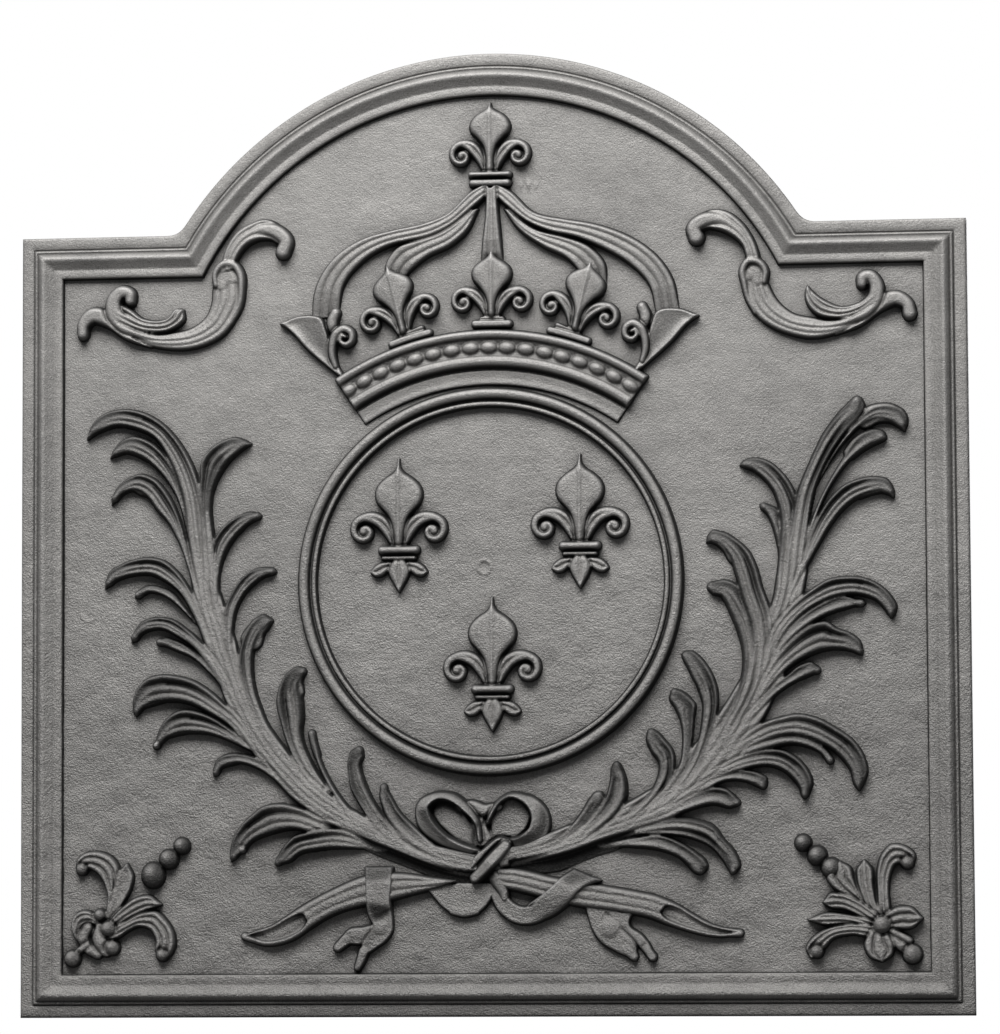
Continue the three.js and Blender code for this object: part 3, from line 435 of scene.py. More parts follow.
# points of the plate's outline moved in by inset, always the same number of them
def outline(inset, step=2.0):
    side, r = plate["halfWidth"] - inset, plate["archRadius"] - inset
    shoulder, centre = plate["shoulder"] - inset, plate["archCentre"]
    foot = math.sqrt(max(r * r - (shoulder - centre)**2, 1e-6))
    start = math.atan2(shoulder - centre, foot)
    full = math.atan2(plate["shoulder"] - centre,
                      math.sqrt(plate["archRadius"]**2 - (plate["shoulder"] - centre)**2))

    def run(a, b, length):
        t = np.arange(int(length / step)) / int(length / step)
        return np.outer(1 - t, a) + np.outer(t, b)

    turn = np.linspace(start, math.pi - start, int(plate["archRadius"] * (math.pi - 2 * full) / step))
    arc = np.stack([r * np.cos(turn), centre + r * np.sin(turn)], 1)
    points = np.vstack([
        run((-side, inset), (side, inset), 600),
        run((side, inset), (side, shoulder), 495),
        run((side, shoulder), (foot, shoulder), 101.5),
        arc[:-1],
        run((-foot, shoulder), (-side, shoulder), 101.5),
        run((-side, shoulder), (-side, inset), 495),
    ])
    bend = plate["fillet"] - inset
    for x in (foot, -foot):
        away = np.hypot(points[:, 0] - x, points[:, 1] - shoulder)
        if bend > 0.5:
            level = away < bend
            s = 0.5 + 0.5 * np.where(abs(points[level, 0]) > foot, -1, 1) * away[level] / bend
            a = np.array([x + bend * np.sign(x), shoulder])
            b = np.array([x - bend * np.cos(math.pi / 2 - start) * np.sign(x),
                          shoulder + bend * math.cos(start)])
            corner = np.array([x, shoulder])
            s = s[:, None]
            points[level] = (1 - s)**2 * a + 2 * s * (1 - s) * corner + s * s * b
    return points


def waves(points, size, length, seed):  # a small slow waviness, the same wherever two pieces meet
    total = np.zeros(len(points))
    draw = np.random.default_rng(seed)
    for k in range(5):
        a, b = draw.normal(0, 1, 2) / length * (1 + k * 0.6)
        total += np.sin(points[:, 0] * a + points[:, 1] * b + draw.uniform(0, 6.3)) / (1 + k * 0.5)
    return size * total / 2


def swept(node, profile):  # a moulding swept round the outline: profile rows are [inset, height, hollow], the hollow painting shade, or a highlight below zero
    rings = []
    for inset, height, _ in profile:
        p = outline(max(inset, 0.15))
        lift = waves(p, 0.25, 60, 5) if height > 0.5 else 0
        rings.append(np.stack([p[:, 0], np.full(len(p), -height) - lift, p[:, 1]], 1))
    n, m = len(rings[0]), len(rings)
    verts = np.vstack(rings)
    faces = []
    i = np.arange(n)
    for k in range(m):
        a, b = k * n, ((k + 1) % m) * n
        faces.append(np.stack([a + i, a + (i + 1) % n, b + (i + 1) % n, b + i], 1))
    shape = [row[2] for row in profile]
    piece = meshFrom(node + "_cast", verts, np.vstack(faces), {
        "hollow": np.repeat(shape, n), "wall": np.repeat(wallOf(profile) * 0.6, n)})
    settle(piece, node)


def wallOf(profile):
    p = np.array([row[:2] for row in profile], float)
    d = np.roll(p, -1, axis=0) - np.roll(p, 1, axis=0)
    return 1 - np.abs(d[:, 0]) / np.maximum(np.hypot(d[:, 0], d[:, 1]), 1e-6)


border = {
    "profile": [  # rows of [inset, height, hollow] from the outer edge to the field; hollow is painted shade in the grooves and, below zero, a painted highlight on the crests
        [0.15, -1.0, 0], [0.15, 0.6, 0], [0.3, 1.4, 0], [0.9, 1.9, 0], [1.8, 2.05, 0], [4.5, 2.1, 0],
        [7.2, 2.05, 0], [7.7, 1.8, 0.6], [8.0, 1.3, 1.6], [8.3, 1.7, 1.2], [8.6, 2.6, 0.2],
        [9.1, 3.2, -0.2], [9.7, 3.4, -0.3], [10.2, 2.7, 1.3], [10.7, 3.0, 1.1], [11.3, 4.4, 0.2],
        [11.9, 5.3, 0], [12.7, 6.2, -0.2], [13.6, 6.9, -0.5], [14.5, 7.1, -0.6], [15.4, 6.9, -0.3],
        [16.4, 6.3, 0], [17.6, 5.5, 0], [18.8, 4.8, 0.1], [20.0, 4.2, 0.3], [20.8, 3.8, 0.7],
        [21.5, 3.8, 0.3], [22.3, 4.0, 0], [24.5, 4.1, 0], [25.9, 4.0, -0.2], [26.5, 3.6, 0],
        [26.9, 2.4, 0.6], [27.2, 0.8, 1.2], [27.7, -0.2, 1.2], [28.3, -1.2, 1.2], [14.0, -1.2, 0],
    ],
}


def makeBorder():
    swept("border_moulding", border["profile"])


def makePlate():
    size = plate["grid"]
    inner = outline(1.2, size)
    gx, gz = np.meshgrid(np.arange(-297, 297.1, size), np.arange(3, 604, size), indexing="ij")
    spots = np.stack([gx.ravel(), gz.ravel()], 1)
    spots = spots + rng.uniform(-plate["scatter"], plate["scatter"], spots.shape)
    r = plate["archRadius"] - 2.5
    inBox = (np.abs(spots[:, 0]) < 297.5) & (spots[:, 1] > 2.5) & (spots[:, 1] < 492.5)
    inArch = (np.hypot(spots[:, 0], spots[:, 1] - plate["archCentre"]) < r) & (spots[:, 1] > 480)
    spots = spots[inBox | inArch]
    for x, z, r in plate["marks"]:
        fine = np.arange(-r, r + 0.1, plate["markGrid"])
        patch = np.stack(np.meshgrid(x + fine, z + fine, indexing="ij"), -1).reshape(-1, 2)
        spots = spots[np.hypot(*(spots - (x, z)).T) > r + 0.8]
        spots = np.vstack([spots, patch[np.hypot(*(patch - (x, z)).T) <= r]])
    flat = np.vstack([inner, spots])
    n = len(inner)
    made = delaunay_2d_cdt([Vector(p) for p in flat], [], [list(range(n))], 1, 1e-4)
    points = np.array([list(p) for p in made[0]])
    tris = np.array(made[2])
    sheet = len(points)
    low = np.clip((330 - points[:, 1]) / 250, 0, 1)
    slow, dents, ripple = (waves(points, *row) for row in plate["waves"])
    lift = slow + dents * (0.25 + 1.5 * low)
    lift += ripple * (0.2 + 1.5 * low)
    lift = np.clip(lift, -plate["deepest"], plate["deepest"])
    (scarX, scarZ, _), (arcX, arcZ, _), (blobX, blobZ, _) = plate["marks"]
    away = np.hypot(points[:, 0] - scarX, points[:, 1] - scarZ)
    lift += 0.6 * np.exp(-((away - 4.2) / 0.8)**2) - 0.35 * np.exp(-(away / 2.6)**2)
    away = np.hypot(points[:, 0] - arcX, (points[:, 1] - arcZ) * 1.1)
    lift += 0.5 * np.exp(-((away - 4.6) / 0.7)**2) * (points[:, 1] < arcZ + 0.5)
    away = np.hypot((points[:, 0] - blobX) / 1.8, points[:, 1] - blobZ)
    lift += 0.4 * np.exp(-(away / 3.0)**2) * (1 + np.sin(points[:, 0] * 1.3))
    front = np.stack([points[:, 0], -lift, points[:, 1]], 1)
    back = np.stack([points[:, 0], np.full(sheet, -plate["back"]), points[:, 1]], 1)
    verts, faces = [front, back], [tris, tris[:, ::-1] + sheet]
    rings = [np.arange(n)]
    total = 2 * sheet
    for inset, y in plate["arris"]:
        p = outline(inset, size)
        verts.append(np.stack([p[:, 0], np.full(n, y), p[:, 1]], 1))
        rings.append(np.arange(n) + total)
        total += n
    rings.append(np.arange(n) + sheet)
    for a, b in zip(rings, rings[1:]):
        an, bn = np.roll(a, -1), np.roll(b, -1)
        faces.append(np.stack([a, bn, an], 1))
        faces.append(np.stack([a, b, bn], 1))
    verts = np.vstack(verts)
    piece = meshFrom("plate_cast", verts, np.vstack(faces), {
        "hollow": np.zeros(len(verts)), "wall": np.zeros(len(verts))})
    settle(piece, "plate")


ring = {
    "centre": (0.0, 272.0), "radius": 122, "steps": 720,
    "profile": [  # rows of [radius, height, hollow]; hollow is painted shade in the grooves and, below zero, a painted highlight on the crests
        [122.6, -1.2, 1.0], [122.3, 0.2, 1.0], [122.0, 1.8, 0.4], [121.6, 3.8, 0], [121.0, 5.4, 0],
        [120.2, 6.5, -0.2], [119.2, 7.2, -0.5], [118.0, 7.4, -0.7], [116.8, 7.1, -0.5],
        [115.8, 6.4, -0.2], [115.0, 5.2, 0.2], [114.3, 3.6, 1.0], [113.8, 2.8, 1.6], [113.3, 3.4, 1.0],
        [112.8, 4.6, 0.2], [112.1, 5.2, -0.3], [111.2, 5.3, -0.5], [110.4, 4.8, -0.1], [109.8, 3.2, 0.2],
        [109.4, 1.0, 0.9], [109.1, -0.2, 1.2], [108.8, -1.2, 1.0],
    ],
}


def makeRing():
    centre, steps, profile = ring["centre"], ring["steps"], ring["profile"]
    turn = np.linspace(0, 2 * math.pi, steps, endpoint=False)
    verts = []
    for r, height, _ in profile:
        p = np.stack([centre[0] + r * np.cos(turn), centre[1] + r * np.sin(turn)], 1)
        lift = waves(p, 0.22, 40, 11) if height > 0.5 else 0
        verts.append(np.stack([p[:, 0], np.full(steps, -height) - lift, p[:, 1]], 1))
    i, m = np.arange(steps), len(profile)
    faces = [np.stack([k * steps + i, k * steps + (i + 1) % steps,
                       ((k + 1) % m) * steps + (i + 1) % steps, ((k + 1) % m) * steps + i], 1)
             for k in range(m)]
    rows = [[ring["radius"] - row[0], row[1]] for row in profile]
    piece = meshFrom("medallion_ring_cast", np.vstack(verts), np.vstack(faces), {
        "hollow": np.repeat([row[2] for row in profile], steps),
        "wall": np.repeat(wallOf(rows), steps)})
    settle(piece, "medallion_ring")


makePlate()
makeBorder()
makeRing()


# Palm branches: a stem of reeds and leaves as pairs of edge lines from root to tip

leftPalm = {
    "box": (-266, 80, 2, 392),
    "stem": ([(-8, 102), (-40, 109), (-62, 118), (-85, 129), (-105, 143), (-125, 163), (-140, 183),
              (-150, 202), (-158, 224), (-164, 246), (-172, 270), (-175, 300)],
             [(-8, 87), (-20, 88.6), (-40, 95), (-60, 103), (-80, 111), (-97, 118), (-119, 131),
              (-138, 149), (-153, 168), (-164, 188), (-172, 207), (-179, 227), (-185, 245), (-190, 270),
              (-195, 300)]),
    # a low ledge under the stem; it and the places listed next get painted shade
    "under": [([(-6, 90), (-20, 91), (-40, 97), (-60, 105), (-80, 113), (-97, 120), (-116, 132)],
               [(-6, 79), (-20, 81), (-40, 87.4), (-60, 95.6), (-80, 104), (-97, 112), (-116, 127)])],
    "darken": [([(-181, 318), (-181, 334), (-178, 347), (-172, 356)],
              [(-178, 318), (-176, 332), (-172, 342), (-166, 350)]),
             ([(-134, 208), (-130, 216), (-121, 220)], [(-127, 203), (-123, 210), (-118, 214)]),
             ([(-88.6, 160), (-87, 166), (-82, 168)], [(-83.6, 157), (-82, 161), (-80, 164)])],
    "balls": [(-212.5, 171, 2.6), (-157.5, 105, 2.8)],  # x, z, radius of the round leaf ends
    "leaves": [  # two edges from root to tip, and flutes
        ([(-30, 96), (-58, 112), (-69, 131), (-70.6, 140), (-68, 146)],
         [(-24, 101), (-38, 110), (-48, 119), (-57, 128), (-64, 140), (-68, 146)], 2),
        ([(-60, 106), (-74, 119), (-84, 134), (-89, 144), (-90, 152), (-90.6, 160), (-88, 167), (-82, 169)],
         [(-46, 104), (-66, 124), (-76, 140), (-80, 150), (-82, 157), (-80, 163), (-82, 169)], 2),
        ([(-86, 118), (-98, 136), (-107, 152), (-112, 165), (-115, 175), (-114, 180.6)],
         [(-70, 116), (-82.5, 125), (-92.5, 135), (-101, 147.5), (-107.5, 161), (-111, 175),
          (-114, 180.6)], 2),
        ([(-112, 142), (-126, 164), (-132.5, 182.5), (-135.6, 197.5), (-134, 207.5), (-129, 216),
          (-121, 220), (-116.5, 217)],
         [(-100, 140), (-112, 158), (-119, 177.5), (-118, 190), (-119, 200), (-121, 207), (-116.5, 217)],
         3),
        ([(-146, 180), (-156, 205), (-159, 231), (-156, 240), (-151, 248), (-144, 253), (-137.5, 249)],
         [(-122, 156), (-137.5, 177.5), (-144, 191), (-149, 206), (-150.6, 219), (-150, 230), (-146, 240),
          (-137.5, 249)], 3),
        ([(-163, 215), (-169, 240), (-168, 259), (-163, 269), (-156, 278), (-147, 282.5), (-139.5, 282.5),
          (-135, 279.4)],
         [(-156, 205), (-162, 225), (-163, 244), (-161, 255), (-156, 265), (-147, 274), (-135, 279.4)], 3),
        ([(-176, 250), (-178, 275), (-174.5, 302.5), (-169.5, 309), (-163, 314), (-157, 317), (-151, 318),
          (-144.5, 315)],
         [(-166, 235), (-172, 265), (-171.4, 280), (-168, 291), (-162, 301), (-156, 307.5),
          (-144.5, 315)], 3),
        ([(-88, 122), (-105, 124), (-120, 131), (-135, 134), (-145, 132), (-151, 127.5), (-158, 121),
          (-164, 111), (-165, 97)],
         [(-88, 108), (-105, 112), (-125, 117), (-140, 114), (-150, 110), (-157, 103), (-165, 97)], 3),
        ([(-66, 104), (-100, 118), (-115, 116), (-125, 113), (-132, 106), (-137, 95)],
         [(-72, 104), (-95, 105), (-110, 104), (-120, 102), (-127, 97), (-137, 95)], 3),
        ([(-112, 124), (-128, 144), (-147.5, 162), (-157.5, 165), (-166, 165), (-174, 162), (-176, 150)],
         [(-106, 118), (-126, 139), (-136, 147.5), (-149, 156), (-159, 159), (-167.5, 157.5),
          (-176, 150)], 2),
        ([(-130, 142), (-148, 164), (-165, 181), (-177.5, 189), (-187.5, 192.5), (-197.5, 193), (-205, 189),
          (-211, 181), (-213, 169)],
         [(-124, 136), (-138, 154), (-146, 164.4), (-155, 168), (-165, 172.5), (-177.5, 177), (-190, 178),
          (-200, 177), (-207.5, 174), (-213, 169)], 3),
        ([(-146, 166), (-160, 189), (-167.5, 196), (-179, 206), (-189, 212), (-200, 215), (-211, 215.6),
          (-220, 212.5), (-225.6, 206), (-228, 197.5), (-226, 189)],
         [(-142, 160), (-156, 172), (-168, 184), (-180, 191), (-190, 196), (-199, 198), (-210, 197.5),
          (-219, 195), (-226, 189)], 3),
        ([(-164, 195), (-174, 214), (-188, 230), (-200, 237), (-207, 239), (-213, 236)],
         [(-158, 188), (-170, 206), (-180, 217.5), (-190, 226), (-201, 230.6), (-213, 236)], 2),
        ([(-160, 200), (-175, 226), (-182.5, 235), (-192.5, 244), (-202.5, 250.6), (-212.5, 252),
          (-222.5, 249), (-229, 235.5)],
         [(-166, 198), (-182, 224), (-190, 233), (-199, 239), (-210, 244), (-217.5, 243), (-229, 235.5)],
         3),
        ([(-178, 226), (-194, 258), (-203, 268), (-210, 271), (-219, 272), (-227, 264)],
         [(-177, 222), (-190, 250), (-197, 257), (-206, 264), (-215, 267.5), (-227, 264)], 2),
        ([(-172, 225), (-183, 252), (-187, 262), (-193, 273), (-200, 282), (-208, 288), (-218, 290),
          (-226, 289), (-235, 286), (-243, 281), (-246, 270)],
         [(-178, 222), (-190, 254), (-199, 268), (-207, 274), (-215, 278), (-228, 278), (-238, 275),
          (-246, 270)], 3),
        ([(-180, 245), (-190, 285), (-196, 310), (-203, 327), (-207, 333), (-214, 340), (-224, 343),
          (-230, 341), (-238, 335), (-242, 323)],
         [(-180, 240), (-186, 262), (-191, 278), (-199, 300), (-205, 311), (-213, 320), (-219, 328),
          (-226, 332), (-234, 330), (-242, 323)], 3),
        ([(-180, 262), (-188, 300), (-196, 330), (-201, 345), (-208, 356), (-218, 364), (-228, 367),
          (-236, 364), (-243, 353)],
         [(-184, 262), (-192, 298), (-201, 330), (-206, 338), (-214, 347), (-222, 353), (-232, 356),
          (-243, 353)], 3),
        ([(-178, 262), (-180, 300), (-183, 330), (-190, 350), (-200, 366), (-210, 376), (-222, 382.5),
          (-235, 384.5), (-248, 381), (-255, 374), (-258, 365)],
         [(-186, 262), (-192, 300), (-198, 334), (-205, 352), (-215, 366), (-226, 371), (-238, 373),
          (-248, 370), (-258, 365)], 3),
        ([(-182, 262), (-183, 300), (-184.5, 340), (-184, 350), (-179.5, 357), (-172, 362.5), (-162, 365.6),
          (-151, 361)],
         [(-172, 262), (-175, 300), (-177, 319), (-176, 330), (-172, 340), (-166, 349), (-159.5, 355),
          (-151, 361)], 3),
    ],
}


rightPalm = {
    "box": (-6, 80, 268, 392),
    "stem": ([(4, 103), (12, 106), (30, 112), (48, 119), (68, 126), (93, 137), (113, 151), (130, 172),
              (145, 191), (160, 216), (170, 240), (178, 262), (184, 290), (190, 320)],
             [(5, 92), (14, 94), (30, 97), (50, 102), (70, 109), (90, 115), (112, 121), (128, 131),
              (143, 144.6), (156, 161), (168, 178), (176, 193), (184, 209), (192, 236), (197, 262),
              (201, 290), (202, 320)]),
    "under": [([(12, 97), (30, 100), (50, 105), (70, 112), (90, 118)],
               [(12, 86), (30, 88.6), (45, 91), (60, 97), (90, 107)])],
    "darken": [([(113, 200), (118, 196), (124, 190)], [(117, 203), (123, 200), (128.6, 193)]),
             ([(76.4, 154), (77, 157.6), (79, 158)], [(83, 151), (82, 155), (79, 158)])],
    "balls": [],
    "leaves": [
        ([(26, 104), (44, 113), (57, 128), (62, 136), (68, 139)],
         [(34, 102), (50, 112), (62, 122), (70, 130), (72, 136), (68, 139)], 2),
        ([(44, 106), (60, 120), (72, 136), (75, 147.5), (76, 155), (79, 158)],
         [(54, 106), (70, 117), (80, 126), (85, 135), (85.6, 144), (82.5, 154), (79, 158)], 2),
        ([(74, 116), (88, 128), (102, 143), (105, 157.5), (100, 165), (97.5, 174), (100, 178)],
         [(82, 114), (92, 122), (101, 130), (109, 139), (114, 147.5), (115.6, 156), (114.4, 165),
          (110, 171), (105, 176), (100, 178)], 3),
        ([(92, 126), (110, 144), (118, 156), (120, 168), (119, 182), (116, 190), (112, 198), (115, 203)],
         [(100, 124), (118, 144), (124, 158), (127, 174), (128, 186), (129, 193), (122, 200), (115, 203)],
         2),
        ([(104, 128), (120, 150), (129, 168), (132, 182), (132.5, 194), (130, 202.5), (125, 212.5),
          (120, 225)],
         [(108, 124), (122, 142), (131, 155), (137, 170), (141, 182.5), (143, 195), (142, 205), (138, 215),
          (132.5, 222.5), (126, 227), (120, 225)], 3),
        ([(134, 162), (145, 182.5), (152.5, 195), (157, 210), (158, 222.5), (155, 237.5), (150, 250),
          (145, 260), (139, 262), (136, 267)],
         [(144, 156), (158, 184), (168, 204), (172, 222), (172, 240), (166, 256), (160, 263), (155, 268),
          (147.5, 271), (141, 270), (136, 267)], 3),
        ([(158, 200), (164, 225), (163, 240), (158, 258), (154, 273), (149, 287.5), (144, 293),
          (135.6, 294)],
         [(168, 200), (178, 232), (176, 252), (171, 266), (167.5, 279), (162.5, 289), (155, 296),
          (146, 301), (140, 302), (135.6, 294)], 3),
        ([(172, 240), (179, 262), (181, 282), (179, 297.5), (175, 309), (169, 318)],
         [(180, 240), (187, 266), (189, 286), (187, 303), (179, 316), (169, 318)], 2),
        ([(176, 252), (181, 285), (180.6, 317.5), (177.5, 326), (172.5, 332.5), (166, 338), (157, 342)],
         [(190, 252), (194, 285), (194, 319), (190, 329), (184, 337.5), (176, 344.4), (167.5, 347),
          (160, 345.5), (157, 342)], 3),
        ([(76, 114), (100, 119), (115, 123), (130, 122), (140, 118), (146, 110), (153, 102), (156, 92),
          (150, 87)],
         [(76, 110), (105, 112.6), (125, 110), (138, 104), (145, 96), (150, 87)], 3),
        ([(66, 106), (90, 111), (108, 112), (118, 108), (126, 103), (133, 97), (136, 93), (130, 88.5)],
         [(70, 105), (90, 104.6), (105, 102.6), (118, 97.6), (126, 91), (130, 88.5)], 2),
        ([(108, 128), (126, 137), (140, 142), (148, 140.5), (156, 132)],
         [(106, 120), (124, 127), (140, 130.4), (151, 128.6), (156, 132)], 2),
        ([(120, 138), (135, 147), (146, 151), (156, 152.5), (166, 151), (173, 147), (171, 140.5)],
         [(120, 132), (136, 140), (147, 145), (157, 145), (164, 143), (171, 140.5)], 2),
        ([(130, 148), (147, 157), (160, 162.5), (171, 165), (183, 164.4), (191, 160), (198, 152.5),
          (201, 144), (196, 133.5)],
         [(128, 140), (145, 148), (160, 152.5), (175, 154), (184, 150.5), (190.6, 144), (196, 133.5)], 3),
        ([(146, 164), (170, 176), (190, 177), (205, 170.5), (214, 155)],
         [(144, 154), (160, 161), (175, 165), (190, 167.5), (200, 165), (207.5, 161), (214, 155)], 2),
        ([(140, 158), (160, 175), (171, 182), (181, 185), (192, 187), (204, 184.5), (216, 178), (226, 171),
          (232.5, 162), (235.5, 151), (230, 138.5)],
         [(146, 156), (168, 168), (187, 173), (204, 169), (217.5, 160), (224, 151), (226.5, 142.5),
          (230, 138.5)], 3),
        ([(156, 182), (176, 203), (186, 211), (194, 217), (201, 219), (207, 213)],
         [(154, 174), (170, 189), (180, 199), (189, 205), (197.5, 209), (207, 213)], 2),
        ([(164, 196), (180, 224), (195, 239), (202.5, 243), (211, 244), (217, 240), (225, 237), (232, 231),
          (233, 222.5)],
         [(164, 186), (178, 206), (189, 216), (197.5, 221), (207.5, 225), (220, 226), (233, 222.5)], 3),
        ([(172, 212), (190, 243), (205, 254), (220, 260), (236, 255)],
         [(172, 208), (184, 228), (195, 238), (204, 244), (212.5, 248), (222.5, 251), (236, 255)], 2),
        ([(168, 214), (180, 244), (192, 257), (202.5, 265), (212.5, 270.6), (222.5, 272), (234, 271),
          (244, 266.4), (251, 259.6), (254.5, 252), (251, 245)],
         [(174, 212), (188, 240), (200, 251), (215, 258), (228, 260), (240, 257), (251, 245)], 3),
        ([(182, 246), (196, 284), (205, 308), (215, 322.5), (222.5, 329), (231, 332.5), (241, 334),
          (249, 332.4), (253, 327), (253.5, 320)],
         [(182, 238), (190, 262), (199, 278), (206, 290), (214, 303), (222, 313), (231, 320), (239, 323),
          (245, 324.4), (253.5, 320)], 3),
        ([(190, 262), (199, 300), (208, 322), (222, 346), (234, 361), (241, 363.6), (247.5, 362),
          (249.5, 357.5)],
         [(190, 254), (197, 286), (205, 308), (212.5, 325), (219, 335), (227.5, 345), (238, 352),
          (249.5, 357.5)], 2),
        ([(190, 262), (199, 300), (209, 336), (222, 358), (234, 372), (242.5, 377.5), (251, 378.4),
          (259, 376), (262.5, 370), (260.6, 361.5)],
         [(192, 262), (199, 300), (206, 328), (215, 345), (225, 357.5), (234, 365.6), (244, 369.4),
          (251, 367.5), (260.6, 361.5)], 3),
        ([(182, 262), (188, 300), (194, 328), (199, 340), (204, 351), (210, 362.5), (217.5, 372),
          (225, 379), (231, 385)],
         [(194, 262), (199, 296), (205, 328), (215, 349), (225, 363), (234, 373), (236, 379), (231, 385)],
         3),
    ],
}


palmCut = {
    "cell": 0.67, "underRise": 1.4, "ballRise": 6.5, "darkenAmount": 0.8,
    "stem": {"rise": [[0, 7.4], [0.6, 6.2], [1, 5]], "edge": (2.5, 2.5), "flutes": 5, "depth": 0.9},
    "leaf": {"rise": [[0, 6.0], [0.4, 6.4], [0.8, 7.2], [1, 6.2]],
             "depth": [[0, 0.9], [0.4, 1.6], [0.8, 2.6], [1, 1.6]], "root": 0.3},
    "rims": (1.5, 2.6), "furrow": (0.42, 0.2, 2.6),  # furrow: place across the leaf, width, depth
    "tip": {"rise": [[0, 3.5], [0.4, 5.6], [1, 6.4]], "edge": 3.0, "cover": 0, "groove": 0.5},
}


def blunted(a, b, least=2.5):  # a full round end along the middle of a leaf's tip
    a, b = flow(a), flow(b)
    rows = []
    for share in (0.78, 0.84, 0.9, 0.96):
        one, two = a[int(share * (len(a) - 1))], b[int(share * (len(b) - 1))]
        x, z = (one + two) / 2
        rows.append((x, z, max(least, 0.45 * np.hypot(*(one - two)))))
    return rows


def makePalm(node, palm):
    relief = Relief(*palm["box"], palmCut["cell"])
    # a low ledge under the stem, painted with shade
    for a, b in palm["under"]:
        relief.blade(a, b, rise=palmCut["underRise"], edge=(1, 1), root=0)
        relief.darken(a, b)
    relief.blade(*palm["stem"], **palmCut["stem"])
    for a, b, flutes in palm["leaves"]:
        upward = sum(z for _, z in a[-4:-1]) / 3 > sum(z for _, z in b[-4:-1]) / 3
        edge, (place, wide, deep) = palmCut["rims"], palmCut["furrow"]
        if not upward:
            edge, place = edge[::-1], -place
        relief.blade(a, b, edge=edge, flutes=flutes, furrow=(place, wide, deep), **palmCut["leaf"])
        relief.stroke(blunted(a, b), **palmCut["tip"])
    for x, z, r in palm["balls"]:
        relief.ball(x, z, r, palmCut["ballRise"])
    # painted shade at the listed folds and leaf ends
    for a, b in palm["darken"]:
        relief.darken(a, b, palmCut["darkenAmount"])
    cast(relief, node)


makePalm("palm_branch_left", leftPalm)
makePalm("palm_branch_right", rightPalm)


# Lilies: the bulb's right edge, a side petal with its ball, and what is below the collar

lilyBulb = [(3.4, 26), (3.6, 31), (4.4, 38.3), (6.8, 46.6), (10.4, 51.4), (14.2, 56), (15.6, 61.5),
            (14.4, 66.4), (11.6, 70), (8, 73), (3.6, 76), (1.5, 78.5), (0.6, 84.4)]
lilyPetal = [(2, 27, 2.6), (4, 33.5, 3.7), (7, 39.5, 4.5), (11.5, 44.4, 4.6), (17, 46.8, 4.2)]
lilyDrop = [(3.5, 22), (5.6, 18), (7.2, 13), (5.8, 8.5), (3.2, 4), (0, -0.6)]
lilyLeaflet = ([(4, 20), (7.4, 19.6), (12.2, 18.8), (16.3, 16), (18.4, 12.4)],
               [(4, 14), (6.8, 12.4), (11, 9.7), (15.1, 9.4), (18.4, 12.4)])


# points moved to a place, mirrored by side and leaned to the left by an angle
def placed(points, at, lean=0.0, side=1, size=1.0):
    c, s = math.cos(math.radians(lean)), math.sin(math.radians(lean))
    rows = []
    for p in points:
        x, z = p[0] * side * size, p[1] * size
        rows.append((at[0] + x * c - z * s, at[1] + x * s + z * c, *(w * size for w in p[2:])))
    return rows


coil = [  # turn, radius, half width
    (0, 1.1, 0.43), (45, 0.93, 0.4), (90, 0.79, 0.36), (135, 0.72, 0.33), (180, 0.7, 0.31),
    (225, 0.66, 0.29), (270, 0.56, 0.28), (310, 0.36, 0.34), (350, 0.1, 0.43), (370, 0.0, 0.44),
]


def curled(x, z, r):  # the points of a scroll of radius r that winds in to its eye
    rows = []
    for angle, far, half in coil:
        t = math.radians(angle)
        rows.append((x + r * far * math.sin(t), z + r * far * math.cos(t), r * half))
    return rows


def lilyTop(relief, at, bulb, petal, ball, lean=0.0, rise=6.4):
    for side in (-1, 1):
        line = petal + curled(*ball)
        relief.stroke(placed(line, at, lean, side),
                      rise=[[0, rise - 1.2], [0.35, rise + 0.4], [1, rise - 0.4]],
                      flutes=2, edge=3.0, depth=[[0, 1.6], [0.3, 1.6], [0.42, 0], [1, 0]])
    left, right = placed(bulb, at, lean, -1), placed(bulb, at, lean, 1)
    relief.blade(left, right, rise=rise - 0.9, edge=(3.6, 3.6), dish=-1.5, root=0.02)
    crest = placed([(0, bulb[0][1]), (0, bulb[-1][1] - 3)], at, lean)
    relief.ridge(crest, [[0, 0.9], [0.8, 0.8], [1, 0.2]], 1.7)


def makeLily(node, x, z):
    relief = Relief(x - 34, z - 5, x + 34, z + 90, 0.4)
    at = (x, z)
    for side in (-1, 1):
        a, b = (placed(edge, at, 0, side) for edge in lilyLeaflet)
        relief.blade(a, b, rise=5.0, edge=(2.4, 2.4), flutes=2, depth=1.6, root=0.02)
    relief.blade(placed(lilyDrop, at, 0, -1), placed(lilyDrop, at), rise=5.6, edge=(3.6, 3.6), flutes=2,
                 depth=1.0, root=0.02)
    lilyTop(relief, at, lilyBulb, lilyPetal, (22.4, 38.4, 7.6))
    relief.stroke(placed([(-9.6, 21.6, 1.9), (9.6, 21.6, 1.9)], at), rise=5.4)
    relief.stroke(placed([(-10.6, 26.4, 3.0), (10.6, 26.4, 3.0)], at), rise=7.6)
    cast(relief, node, 0.42)


makeLily("fleur_de_lis_left", -57.5, 265.8)
makeLily("fleur_de_lis_right", 57.0, 267.0)
makeLily("fleur_de_lis_lower", 1.3, 177.8)


# Crown

